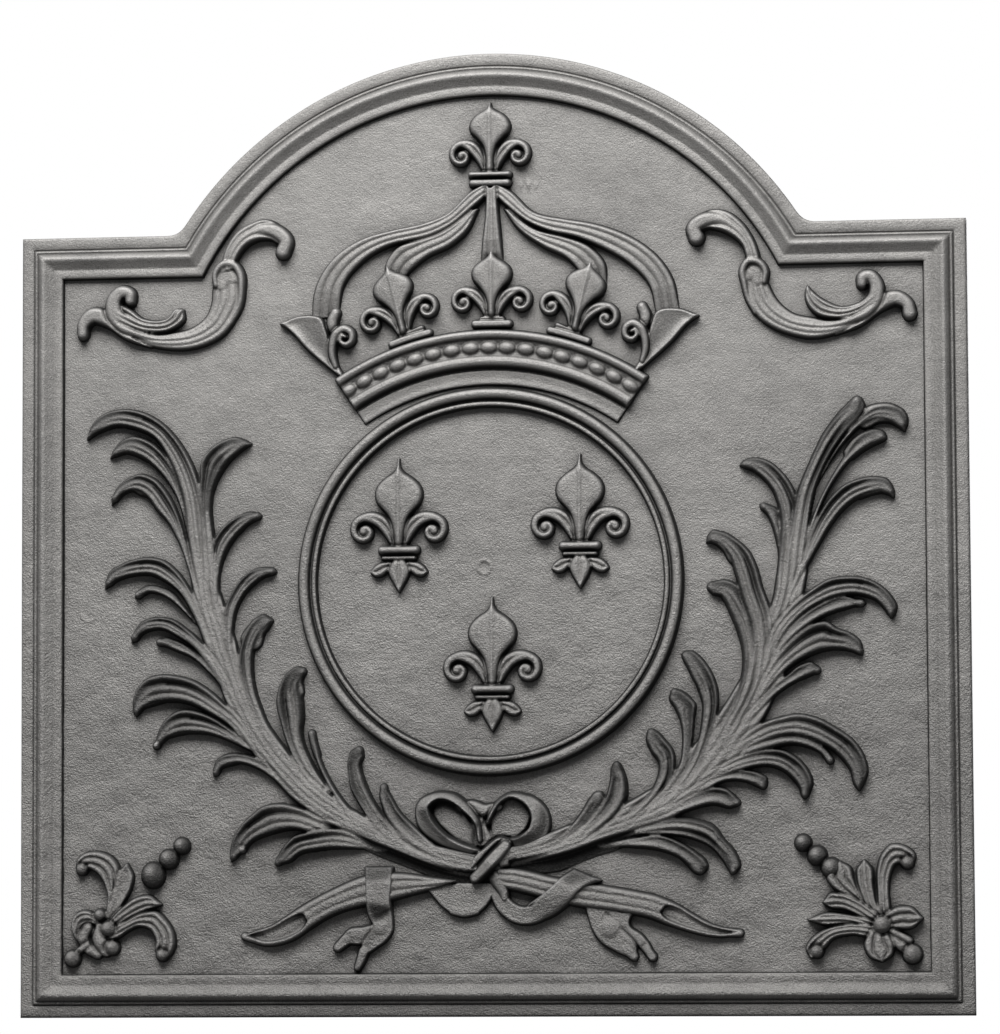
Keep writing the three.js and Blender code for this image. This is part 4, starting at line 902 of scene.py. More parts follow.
crown = {
    "centre": (0.0, 252.5), "ends": (-33.6, 34.6),
    "profile": [(142.4, -1.2), (143.2, 1.8), (144.6, 2.2), (147.5, 1.9), (150.4, 2.1), (152.0, 2.2),
                (153.2, 0.6), (154.4, 3.6), (155.6, 5.9), (157.6, 6.8), (160.2, 6.3), (161.2, 5.0),
                (162.0, 3.8), (162.8, 4.3), (163.6, 3.6), (170.0, 3.6), (170.9, 4.4), (171.6, 3.7),
                (172.4, 5.4), (173.4, 6.8), (175.2, 7.4), (177.0, 6.6), (177.9, 4.2), (178.5, 0.5),
                (179.2, -1.4)],
    "archCut": {"rise": [[0, 6.6], [0.3, 7.0], [0.7, 6.0], [0.88, 4.4], [1, 1.4]], "edge": (2.2, 2.8),
                "flutes": 3, "depth": 1.1, "root": 0.02},
    "beads": {"radius": 166.8, "pitch": 4.05, "count": 17, "along": 5.9, "wide": 4.1, "rise": 7.2},
    "arches": [
        ([(-12, 506), (-30, 494), (-45, 489), (-58, 484), (-65.5, 474.5), (-66, 460)],
         [(-5.5, 508), (-12.7, 493), (-23.6, 483.6), (-38, 477), (-48, 469.6), (-58, 458)]),
        ([(9, 508), (18, 494.5), (34.5, 482), (51, 473), (58, 464), (60, 456)],
         [(14, 506), (30, 494), (48, 489), (64.5, 482), (74, 471), (75, 458)]),
        ([(1, 525), (-10.5, 519), (-27, 504.5), (-42, 499), (-60, 495.5), (-78, 491), (-91, 484.5),
          (-101, 476), (-108, 466), (-112, 454.5), (-113, 440)],
         [(1, 516), (-12, 505), (-22, 497), (-36, 490), (-50, 487), (-62, 484.5), (-80, 474.5), (-91, 462),
          (-96, 440)]),
        ([(3, 516), (15, 505), (24, 498), (38, 491.5), (56, 487), (74.5, 479), (89, 470), (101, 457),
          (105.5, 438)],
         [(3, 525), (14.5, 518.4), (29, 505), (49, 500), (65.5, 497), (83.6, 491), (98, 483), (109, 473),
          (116, 462), (121, 438)]),
        ([(-1.5, 521), (-2, 505), (-4.5, 482), (-5, 474)], [(6, 521), (7, 505), (9, 482), (9.5, 474)]),
    ],
}
fleuronBulb = [(3.2, 2), (3.4, 12), (4.8, 18), (8.4, 24), (12, 28.6), (13.2, 33), (12, 37), (8.6, 40.4),
               (4.6, 43), (2.0, 45), (0.6, 47.6)]
fleuronPetal = [(2, 3, 2.4), (3.6, 10, 3.4), (7.6, 16.6, 4.0), (13, 20.8, 3.8)]
finialBulb = [(3.6, 6), (3.8, 20), (5, 26), (8.6, 31), (12.6, 35.4), (13.5, 39), (12, 43.6), (8.4, 47.4),
              (3.6, 50), (1.4, 51.4), (0.6, 54.4)]
finialPetal = [(2, 8, 2.6), (4, 15, 3.4), (8, 22, 4.2), (13.2, 26.8, 4.0)]


def makeCirclet():
    relief = Relief(-106, 366, 108, 436, 0.5)
    px, pz = np.meshgrid(relief.x, relief.z, indexing="ij")
    dx, dz = px - crown["centre"][0], pz - crown["centre"][1]
    r, angle = np.hypot(dx, dz), np.degrees(np.arctan2(dx, dz))
    stops = np.array(crown["profile"])
    h = np.interp(r, stops[:, 0], stops[:, 1], -2, -2)
    low, high = crown["ends"]
    inside = np.minimum(angle - low, high - angle) * r * math.pi / 180
    bead = crown["beads"]
    for k in range(bead["count"]):
        turn = (k - (bead["count"] - 1) / 2) * bead["pitch"] + rng.uniform(-0.12, 0.12)
        along = (angle - turn) * math.pi / 180 * bead["radius"]
        far = (along / bead["along"])**2 + ((r - bead["radius"]) / bead["wide"])**2
        h = np.maximum(h, np.where(far < 1, 2.6 + (bead["rise"] - 2.6) * np.sqrt(np.clip(1 - far, 0, 1)),
                                   -2))
    edge = np.sqrt(1 - (1 - np.clip(inside / 1.6, 0, 1))**2)
    relief.h = np.where(inside > 0, np.minimum(h, h * (0.25 + 0.75 * edge)), -2)
    cast(relief, "crown_circlet", 0.42)


def makeArches():
    relief = Relief(-122, 436, 130, 530, 0.5)
    for a, b in crown["arches"]:
        relief.blade(a, b, **crown["archCut"])
    cast(relief, "crown_arches", 0.45)


def makeFleuron(node, at, lean, foot):
    relief = Relief(at[0] - 46, at[1] - 14, at[0] + 46, at[1] + 52, 0.4)
    lilyTop(relief, at, fleuronBulb, fleuronPetal, (18.4, 15, 6.6), lean, rise=7.2)
    middle = (foot[0][0] + foot[-1][0]) * 0.2
    relief.stroke([(x * 0.6 + middle, z + 2.7, 2.2) for x, z, _ in foot], rise=5.0, edge=1.4)
    relief.stroke(foot, rise=5.8, edge=1.6)
    cast(relief, node, 0.42)


def makeFinial():
    relief = Relief(-30, 514, 34, 581, 0.4)
    at = (1.4, 520.5)
    lilyTop(relief, at, finialBulb, finialPetal, (18.4, 20.4, 6.8), rise=7.2)
    relief.stroke(placed([(-11.8, 8.2, 2.3), (11.8, 8.2, 2.3)], at), rise=8.2, edge=2.2)
    relief.stroke(placed([(-11, 3, 2.7), (11, 3, 2.7)], at), rise=7.4, edge=2.2)
    cast(relief, "crown_finial", 0.42)


def makeHalfFleuron(node, side, shift):
    relief = Relief(min(side * 84, side * 138), 396, max(side * 84, side * 138), 452, 0.4)
    at = (shift, 0)
    outer = [(92, 400), (104, 409.5), (116, 420), (127, 432), (133.6, 437)]
    inner = [(93, 405), (97, 413), (101, 426), (107, 440.4), (120, 441.8), (133.6, 437)]
    relief.blade(placed(outer, at, 0, side), placed(inner, at, 0, side), rise=7.0, edge=(2.2, 2.2),
                 dish=2.6,
                 root=0.02)
    # painted shade in the hollow of the leaf
    relief.darken(placed([(98, 412), (104, 424), (109, 434), (118, 437)], at, 0, side),
                placed([(100, 410), (110, 420), (118, 429), (123, 436)], at, 0, side), 0.45, 2.4)
    relief.stroke(placed([(97, 429, 3.6), (99.6, 437, 4.2), (97.5, 443, 3.6)], at, 0, side), rise=6.4)
    line = [(97.5, 409, 2.2), (99.6, 416, 2.8), (99.2, 423.4, 3.2), (96.6, 430, 3.3), (91.8, 432.6, 3.2),
            (87.2, 429.8, 2.9), (87.4, 424.6, 2.6), (91, 422.6, 2.3), (94.2, 425, 2.1), (93, 428.4, 1.9),
            (91, 427.4, 1.8)]
    relief.stroke(placed(line, at, 0, side), rise=[[0, 6], [0.4, 8.2], [1, 7.4]], edge=3.0)
    cast(relief, node, 0.42)


makeCirclet()
makeArches()
makeFleuron("crown_fleuron_centre", (2.0, 433.0), 0, [(-8.6, 434.2, 2.6), (12.8, 434.2, 2.6)])
makeFleuron("crown_fleuron_left", (-53.0, 426.0), 14,
            [(-61.5, 422.4, 2.6), (-50, 426.2, 2.6), (-38, 429.4, 2.6)])
makeFleuron("crown_fleuron_right", (53.6, 426.0), -14,
            [(62.5, 422.2, 2.6), (51, 426, 2.6), (39, 429.4, 2.6)])
makeFinial()
makeHalfFleuron("crown_half_fleuron_left", -1, 0.0)
makeHalfFleuron("crown_half_fleuron_right", 1, -0.5)


# Stalks and ribbon

def scoop(relief, a, b, depth, edge):  # a hollow cut into what is already carved, between two edge lines
    mask = Relief(relief.x[0], relief.z[0], relief.x[-1], relief.z[-1], relief.cell)
    mask.h[:] = 0
    mask.blade(a, b, rise=depth, edge=(edge, edge), root=0, groove=0)
    shape = np.clip(mask.h[:relief.h.shape[0], :relief.h.shape[1]], 0, None)
    relief.h = np.where(relief.h > 0, np.maximum(relief.h - shape, np.minimum(relief.h, 0.8)), relief.h)


def makeStalk(node, stalk):
    relief = Relief(*stalk["box"], 0.5)
    relief.blade(stalk["upper"], stalk["lower"], rise=[[0, 6.8], [0.6, 7.0], [0.85, 6.2], [1, 4.6]],
                 edge=(4.2, 4.6), flutes=3,
                 depth=[[0, 1.3], [0.5, 1.0], [0.75, 0.5], [1, 0.2]], root=0.01)
    relief.stroke(stalk["tip"], rise=4.8, edge=3.0, cover=0, groove=0.5)
    scoop(relief, stalk["cutUpper"], stalk["cutLower"], 3.4, 2.6)
    # painted shade along the stalk's lower edge
    under = [point for point in stalk["lower"] if abs(point[0]) < 118]
    relief.darken([(x, z - 1) for x, z in under], [(x, z + 2.6) for x, z in under], 0.85, 1.6)
    cast(relief, node, 0.45)


stalkLeft = {
    "box": (-164, 38, 4, 100),
    "upper": [(-22, 85), (-34, 87), (-60, 90.5), (-80, 88.5), (-100, 80.5), (-120, 70), (-130, 63.5),
              (-140, 57.6), (-150, 54.4), (-158, 51)],
    "lower": [(-22, 84), (-34, 79.6), (-50, 75.4), (-66, 71.4), (-80, 69), (-100, 63), (-115, 54.4),
              (-120, 50.8), (-130, 46), (-142, 44.2), (-152, 46.6), (-158, 51)],
    "cutUpper": [(-116, 60), (-118.6, 64.6), (-127, 62.4), (-136, 57.4), (-146, 53.6), (-155, 51.4)],
    "cutLower": [(-116, 60), (-119, 55), (-124, 51.8), (-132, 48.6), (-142, 47.4), (-155, 51.4)],
    "tip": [(-146, 49, 3.2), (-152, 49.6, 3), (-156, 50.8, 2.8)],
}
stalkRight = {
    "box": (-2, 42, 162, 104),
    "upper": [(4, 93), (14, 92.6), (40, 87), (70, 82), (90, 78.4), (105, 75), (115, 70.6), (125, 64.6),
              (137, 58), (148, 54.6), (157, 51.4)],
    "lower": [(4, 80), (20, 76.5), (35, 72.5), (50, 68.6), (80, 64), (100, 60), (108, 57), (120, 53),
              (135, 49.2), (147, 48.6), (157, 51.4)],
    "cutUpper": [(106, 64.4), (109.6, 68.6), (116, 67.6), (126, 61.6), (137, 55.8), (146, 53.4), (153, 52)],
    "cutLower": [(106, 64.4), (109, 60.6), (115, 57.6), (124, 54.6), (136, 51.6), (146, 50.8), (153, 52)],
    "tip": [(146, 52, 3.2), (151, 51.6, 3), (155, 51.4, 2.8)],
}
makeStalk("palm_stalk_left", stalkLeft)
makeStalk("palm_stalk_right", stalkRight)


def carved(node, piece):  # a piece cut in the steps of its dictionary
    relief = Relief(*piece["box"], piece["cell"])
    for kind, values in piece["steps"]:
        getattr(relief, kind)(**values)
    cast(relief, node, 0.45)


# the darkening steps paint shade into the folds, undercuts and turned-away sides of the ribbon
ribbonBow = {"box": (-56, 70, 46, 148), "cell": 0.45, "steps": [
    ("blade", dict(a=[(-10, 102), (-26, 113), (-37, 128), (-34, 136)],
                   b=[(-8, 108), (-14, 124), (-22, 133), (-34, 136)], rise=3.6, edge=(1.5, 1.5), root=0)),
    ("blade", dict(a=[(0, 110), (0, 124), (6, 134), (14, 138)],
                   b=[(12, 108), (22, 116), (26, 127), (14, 138)], rise=4.4, edge=(2, 2), root=0,
                   dish=1.0)),
    ("stroke", dict(points=[(-9, 128, 4), (-7.4, 119, 5), (-4, 110, 6)], rise=6.0, edge=4.4, groove=0.3)),
    ("stroke", dict(points=[(-20, 130.6, 3.6), (-12, 130.6, 4.8), (-4, 128.4, 4.6), (5, 131, 3.4)],
                    rise=6.6, edge=4.4, groove=0.6)),
    ("stroke", dict(points=[(-8, 102, 2.6), (-20, 105.5, 3.2), (-33, 112.5, 4.6), (-42, 123, 5.6),
                            (-42.6, 131.5, 4.6), (-34, 137.6, 3.2), (-24, 136.6, 3.4), (-15, 130, 3.2),
                            (-8, 121, 2.4), (-6, 110, 2)], rise=8.4, edge=1.8, tilt=-0.42)),
    ("stroke", dict(points=[(8, 108, 2.4), (20, 108.5, 4.4), (30, 115, 6.4), (31.5, 124, 6),
                            (27.5, 131.6, 4.6), (20, 136.6, 3), (12.6, 138, 2.2), (5.4, 134, 2),
                            (0.6, 127, 1.8), (-2, 121, 1.6)], rise=8.4, edge=1.8, tilt=0.42)),
    ("stroke", dict(points=[(-1, 92, 3.8), (3, 85.6, 4.8), (7, 79, 4.4), (8.6, 73.6, 2.8)],
                    rise=[[0, 8], [1, 5.6]], edge=4)),
    ("darken", dict(a=[(-3, 88), (0, 81), (5, 74)], b=[(0.6, 89), (3, 83), (7, 76)], amount=0.85)),
    ("blade", dict(a=[(-13, 92), (-12, 98), (-4, 105.6), (6, 112), (12, 111)],
                   b=[(-13, 92), (-6, 92), (1, 99), (7, 105), (12, 111)], rise=9.0, edge=(2.2, 1.6),
                   root=0, groove=2)),
    ("stroke", dict(points=[(-9.6, 86.4, 4.2), (-4, 92, 4.6), (3, 99.4, 4.8), (9.4, 106.4, 4.2)],
                    rise=[[0, 8.6], [0.5, 12.6], [1, 10]], edge=3.2, groove=3, tilt=-0.12)),
    ("darken", dict(a=[(-14, 84), (-8, 80), (2, 86)], b=[(-9, 85), (-2, 90), (6, 97)], amount=1.0)),
    ("darken", dict(a=[(-29, 109), (-40, 119), (-47, 127)], b=[(-22, 111.4), (-32, 121), (-39, 131)],
                  amount=0.75, soft=2)),
    ("darken", dict(a=[(12, 108), (26, 106.6), (35, 114), (37, 124), (33, 132)],
                  b=[(14, 113), (24, 114.6), (30, 120), (31, 127), (30, 131)], amount=0.75, soft=2)),
    ("darken", dict(a=[(-44, 139), (-32, 142), (-20, 139), (-12, 132)],
                  b=[(-42, 136.4), (-32, 138.6), (-21, 135.6), (-14, 130)], amount=0.8)),
    ("darken", dict(a=[(2, 131), (7, 138), (16, 141), (26, 139)],
                  b=[(5, 131), (10, 135.6), (16, 138), (24, 136)], amount=0.8)),
    ("darken", dict(a=[(-37, 133), (-32, 137), (-24, 134.6), (-17, 127)],
                  b=[(-36, 127), (-31, 130.4), (-25, 129), (-18, 123)], amount=1.0)),
    ("darken", dict(a=[(-12, 104), (-13, 112), (-10, 120), (-3, 124)],
                  b=[(-9, 104), (-9, 112), (-6, 118), (-1, 120.6)], amount=0.9)),
    ("darken", dict(a=[(-6, 124.6), (-2, 124.6), (2, 123.6)], b=[(-5, 120.6), (-2, 119.6), (1, 120.6)],
                  amount=0.9, soft=1.4)),
    ("darken", dict(a=[(-17, 126.6), (-13, 126), (-11, 121)], b=[(-16, 122), (-14, 120), (-12, 117)],
                  amount=0.6, soft=1.6)),
]}
carved("ribbon_bow", ribbonBow)
ribbonFold = {"box": (-46, 56, 8, 90), "cell": 0.45, "steps": [
    ("blade", dict(a=[(-44, 83), (-38, 76), (-32, 69), (-25, 64), (-17, 62.4)],
                   b=[(6, 84), (2, 76), (-3, 68.6), (-9, 63.8), (-17, 62.4)], rise=4.2, edge=(1.8, 1.8),
                   root=0, dish=0.6)),
    ("stroke", dict(points=[(-24, 66.4, 3.4), (-17, 65, 3.4), (-10, 66.4, 3.4)], rise=4.2, edge=2,
                    cover=0, groove=0)),
]}
carved("ribbon_fold", ribbonFold)
# the darkening steps paint shade into the ribbon's folds
ribbonEndRight = {"box": (-4, 50, 76, 100), "cell": 0.45, "steps": [
    ("stroke", dict(points=[(3.5, 92, 3.4), (3.4, 79, 4.6), (8.4, 69, 5.6), (17, 63.4, 6),
                            (27, 63.6, 6.2), (36, 69.6, 7)], rise=[[0, 5], [0.5, 4.6], [1, 6.4]],
                            edge=1.8, tilt=0.1, dish=0.6)),
    ("blade", dict(a=[(16, 65), (24, 70.6), (35, 78.6), (44, 87), (52, 92)],
                   b=[(28, 57.6), (40, 62.4), (50, 70), (58, 78.6), (70, 84.4)],
                   rise=[[0, 6], [0.4, 8.6], [0.7, 9.2], [1, 7]], edge=(1.5, 3.4), root=0.35,
                   tilt=[[0, 0.2], [0.45, 0.25], [0.7, -0.05], [1, -0.3]])),
    ("darken", dict(a=[(44, 86), (51, 92.6), (60, 91)], b=[(50, 81), (60, 84), (70, 84.6)], amount=0.7,
                  soft=2.4)),
    ("darken", dict(a=[(24, 60), (36, 66), (46, 74)], b=[(27, 56), (42, 62), (54, 73)], amount=0.6,
                  soft=2.4)),
]}
carved("ribbon_end_right", ribbonEndRight)
ribbonTailRight = {"box": (54, 28, 108, 72), "cell": 0.45, "steps": [
    ("blade", dict(a=[(58, 70), (60.6, 60), (63, 53), (68, 46), (78, 39.6), (91, 34)],
                   b=[(80, 68), (84, 57), (90, 48), (91.6, 43), (91, 34)], rise=4.6, edge=(2.4, 2.6),
                   root=0)),
    ("blade", dict(a=[(72, 64), (82, 54), (90, 45.6), (96, 38), (103, 34)],
                   b=[(90, 66), (87, 57), (94.6, 51), (100.6, 43), (103, 34)], rise=4.8, edge=(2.4, 1.8),
                   root=0, cover=2)),
    ("ball", dict(x=74, z=55, r=9, rise=6.0, cover=0, groove=0)),
    ("stroke", dict(points=[(84, 42, 4), (89, 37.4, 3.4)], rise=4.6, edge=2.6, cover=0, groove=0.4)),
    ("stroke", dict(points=[(97, 42, 3), (100.6, 37, 3.2)], rise=4.8, edge=2.4, cover=0, groove=0.8)),
]}
carved("ribbon_tail_right", ribbonTailRight)
# the darkening steps paint shade into the ribbon's folds
ribbonEndLeft = {"box": (-104, 24, -54, 100), "cell": 0.45, "steps": [
    ("blade", dict(a=[(-70, 60), (-80, 57), (-90, 55.4), (-96, 49), (-100, 41)],
                   b=[(-72, 50), (-80, 45), (-90, 45), (-100, 41)], rise=4.6, edge=(2, 2), root=0)),
    ("blade", dict(a=[(-61.4, 94), (-61.6, 82), (-62.6, 72), (-61.6, 62), (-61.6, 54), (-65.6, 47.6),
                      (-72.6, 42.6), (-79, 38), (-84.6, 29)],
                      b=[(-80, 94), (-79.8, 83), (-79.4, 73), (-77.6, 62), (-75, 56), (-79, 50),
                         (-83.6, 42), (-84.6, 29)],
                         rise=[[0, 6.4], [0.16, 8.8], [0.34, 8.2], [0.46, 5.4], [1, 4.4]],
                         edge=(1.8, 2.4), root=0, dish=0.9)),
    ("ball", dict(x=-69, z=56, r=7, rise=5.6, cover=0, groove=0)),
    ("stroke", dict(points=[(-92, 48, 4), (-97, 43.6, 3.2)], rise=4.8, edge=2.4, cover=0, groove=0.6)),
    ("stroke", dict(points=[(-80.6, 41, 3.6), (-83.2, 34, 3), (-84.6, 31, 2.4)], rise=4.6, edge=2.4,
                    cover=0, groove=0.6)),
    ("darken", dict(a=[(-80, 95), (-80, 84)], b=[(-60, 95), (-62, 87)], amount=0.6, soft=2)),
    ("darken", dict(a=[(-79, 72), (-77, 66), (-74, 60)], b=[(-62, 69), (-63, 66), (-68, 61)], amount=0.9,
                  soft=2)),
    ("darken", dict(a=[(-72, 58), (-82, 51), (-92, 50)], b=[(-76, 48), (-84, 47), (-94, 47)], amount=0.5,
                  soft=2)),
]}
carved("ribbon_end_left", ribbonEndLeft)


# Scrolls in the shoulders and sprays in the lower corners

band = {"rise": 7.6, "edge": (2.6, 3.4), "flutes": 2, "depth": 1.2, "root": 0.02}
petal = {"rise": 7.2, "edge": (2.6, 3.2), "flutes": 3, "depth": 2.2, "root": 0.03}
curl = {"rise": 7.8, "edge": 4.0, "root": 0.45}
sheetBand = {"rise": 5.6, "edge": (10, 3.4), "flutes": 4, "depth": 0.9, "root": 0.02}

upperScrollLeft = {"box": (-272, 412, -118, 510), "cell": 0.5, "steps": [
    ("blade", dict(a=[(-172, 470), (-168, 486), (-160, 497), (-151, 502), (-143, 504), (-134, 501),
                      (-128, 494), (-125.6, 485)],
                   b=[(-162, 472), (-159, 480), (-153, 487), (-146, 490), (-139, 490), (-134, 487),
                      (-125.6, 485)], **dict(band, flutes=3, tilt=-0.12))),
    ("stroke", dict(points=[(-154, 493, 2.6), (-144, 497, 4.4), (-134.6, 495, 5.2), (-129, 489, 5),
                            (-131, 482.6, 5.2)],
                    **curl)),
    ("blade", dict(a=[(-176.4, 470), (-177, 460), (-178, 450), (-181, 443), (-190, 436), (-203, 433),
                      (-217, 432.6), (-232, 438), (-244, 446), (-252, 451)],
                   b=[(-156.6, 470), (-155.4, 460), (-156, 450), (-161, 440), (-169, 430), (-180, 424),
                      (-195, 421), (-205, 421.5), (-217, 424), (-230, 431), (-240, 438), (-252, 440)],
                   **sheetBand)),
    ("stroke", dict(points=[(-216, 425.6, 2.6), (-230, 432, 4.4), (-243, 441.6, 5.6), (-254, 444.2, 5.6),
                            (-259.6, 438.4, 4.6), (-260, 432.4, 4)], **curl)),
    ("stroke", dict(points=[(-208, 429, 2.6), (-222, 433, 4.6), (-233, 438, 6), (-240, 446.6, 6),
                            (-239.4, 454.6, 5.4), (-234.4, 459, 4.8), (-229.6, 457.4, 4.4),
                            (-229.4, 453.4, 4)], **curl)),
    ("blade", dict(a=[(-238, 452), (-231, 449.6), (-220, 442), (-206, 442), (-199.6, 448), (-195, 447.4)],
                   b=[(-242, 442), (-232, 437), (-217, 432.6), (-203, 433.6), (-194, 441), (-195, 447.4)],
                   **dict(petal, flutes=3, root=0.3))),
    ("stroke", dict(points=[(-170, 462, 5), (-167, 469, 6), (-163, 466, 5)], rise=6, edge=4, cover=0,
                    groove=0)),
    ("stroke", dict(points=[(-174, 462, 2.2), (-174.4, 469, 2.6), (-169, 475.4, 3), (-162.4, 474.8, 3),
                            (-158.4, 469, 3), (-157.6, 460, 2.6), (-159, 450, 2.2), (-163.6, 441, 1.8)],
                    rise=[[0, 7], [0.3, 8.4], [0.6, 7.6], [1, 4.6]], edge=2.8, cover=0, groove=0.3)),
    # painted shade under the curl
    ("darken", dict(a=[(-235, 453), (-231, 450), (-226, 451)],
                  b=[(-235, 449.6), (-230, 447.4), (-225.6, 449)],
                  amount=0.9)),
]}
carved("upper_scroll_left", upperScrollLeft)
upperScrollRight = {"box": (118, 412, 276, 510), "cell": 0.5, "steps": [
    ("blade", dict(a=[(163, 470), (160, 480), (152, 487), (145, 490), (139, 491), (134, 489), (126.6, 486)],
                   b=[(173, 468), (168, 484), (160, 496), (152, 502), (143, 504), (132, 500), (127, 493),
                      (126.6, 486)], **dict(band, flutes=3, tilt=0.12))),
    ("stroke", dict(points=[(156, 492, 2.6), (146, 497, 4.4), (136.4, 496.6, 5.2), (130, 491.6, 5.2),
                            (131.6, 486, 5.4)],
                    **curl)),
    ("blade", dict(a=[(160.4, 468), (162.6, 456), (164, 444), (169, 435), (178, 428), (190, 423),
                      (203, 420.5), (215, 422), (228, 427), (238, 433), (244, 438), (253, 441)],
                   b=[(173.6, 468), (177, 456), (183, 445), (192, 437.5), (204, 434.6), (217, 432.6),
                      (228, 433.6), (238, 440), (246, 448), (253, 450.6)],
                   **dict(sheetBand, edge=(3.4, 10)))),
    ("stroke", dict(points=[(218, 425, 2.6), (232, 431.6, 4.4), (246, 442, 5.4), (257, 445, 5.2),
                            (263, 441, 4.6), (264.4, 435.4, 4.8)], **curl)),
    ("stroke", dict(points=[(210, 429, 2.6), (225, 433, 4.6), (236.6, 438, 5.8), (243.4, 446, 5.6),
                            (243.6, 454.4, 5), (239.6, 459.4, 4.4), (235.4, 458.4, 4.2), (235, 454.6, 4)],
                            **curl)),
    ("blade", dict(a=[(244, 442), (228, 434), (217, 432.6), (207, 435), (201, 441), (199, 449),
                      (200.6, 454.6)],
                   b=[(242, 452), (232, 443), (222, 441), (212, 445), (204, 451), (200.6, 454.6)],
                   **dict(petal, flutes=3, root=0.3))),
    ("stroke", dict(points=[(170, 458, 5), (168, 464, 5.6), (164, 461, 5)], rise=6, edge=4, cover=0,
                    groove=0)),
    ("stroke", dict(points=[(174, 457, 2.2), (174.6, 464, 2.6), (170, 469.6, 2.9), (164, 470, 2.9),
                            (160.6, 464.6, 2.8), (161.6, 456, 2.4), (163.6, 447, 2.1), (168, 438, 1.8)],
                    rise=[[0, 7], [0.3, 8.4], [0.6, 7.6], [1, 4.6]], edge=2.8, cover=0, groove=0.3)),
    # painted shade under the curl
    ("darken", dict(a=[(232, 454), (236, 450.4), (240, 452)], b=[(231.6, 451), (235.4, 448), (240, 450)],
                  amount=0.9)),
]}
carved("upper_scroll_right", upperScrollRight)
# the balls carry painted shade with a painted highlight at the upper left
lowerSprayLeft = {"box": (-274, 28, -196, 110), "cell": 0.5, "steps": [
    ("blade", dict(a=[(-246, 62), (-244, 78), (-246, 84), (-250, 90), (-255, 93), (-262, 90)],
                   b=[(-238, 62), (-236, 80), (-235, 93), (-240, 101), (-250, 105), (-260, 103),
                      (-264.4, 97), (-262, 90)], **petal)),
    ("ball", dict(x=-260, z=93.4, r=4.4, rise=6.8, black=0.6)),
    ("blade", dict(a=[(-245, 60), (-243, 69), (-240, 78), (-238, 87), (-235.4, 93.4), (-231, 97)],
                   b=[(-237, 60), (-234, 70), (-228.6, 80), (-227, 90), (-231, 97)],
                   **dict(petal, flutes=0, dish=3))),
    ("blade", dict(a=[(-244, 60), (-234, 70), (-225, 76), (-216.6, 77), (-208.6, 71)],
                   b=[(-242, 54), (-228, 62), (-218, 66.4), (-208.6, 71)], **petal)),
    ("blade", dict(a=[(-244, 56), (-232, 61), (-222, 66), (-212, 67), (-206, 62), (-200.6, 53),
                      (-200.4, 44), (-204.4, 37.6), (-210.4, 36)],
                   b=[(-244, 48), (-236, 50), (-230, 54), (-224, 56.6), (-217, 55), (-213, 48),
                      (-213.6, 42), (-210.4, 36)], **petal)),
    ("ball", dict(x=-208.6, z=39.4, r=4.4, rise=6.8, black=0.6)),
    ("blade", dict(a=[(-246, 61), (-252, 66.4), (-259, 68), (-265.6, 64), (-267, 56), (-263.6, 48)],
                   b=[(-248, 55), (-254, 58.6), (-259, 57), (-261.4, 53), (-263.6, 48)], **petal)),
    ("stroke", dict(points=[(-256, 56, 4.2), (-259, 50, 4.4), (-256, 44.4, 4.6), (-250, 41, 4.6)],
                    rise=6.6)),
    ("stroke", dict(points=[(-247, 56, 5), (-248.6, 49, 5.4), (-244, 43.4, 5.6)], rise=7.4)),
    ("stroke", dict(points=[(-256, 46, 2.4), (-262, 42, 2.8)], rise=6)),
    ("ball", dict(x=-266, z=37.4, r=5.8, rise=7.6, black=0.6)),
    ("ball", dict(x=-240.6, z=44, r=5.4, rise=6.8, black=0.6)),
    ("ball", dict(x=-248.4, z=64.6, r=4.4, rise=7.8, black=0.6)),
    ("ball", dict(x=-243, z=56, r=5.6, rise=8.2, black=0.6)),
]}
carved("lower_spray_left", lowerSprayLeft)
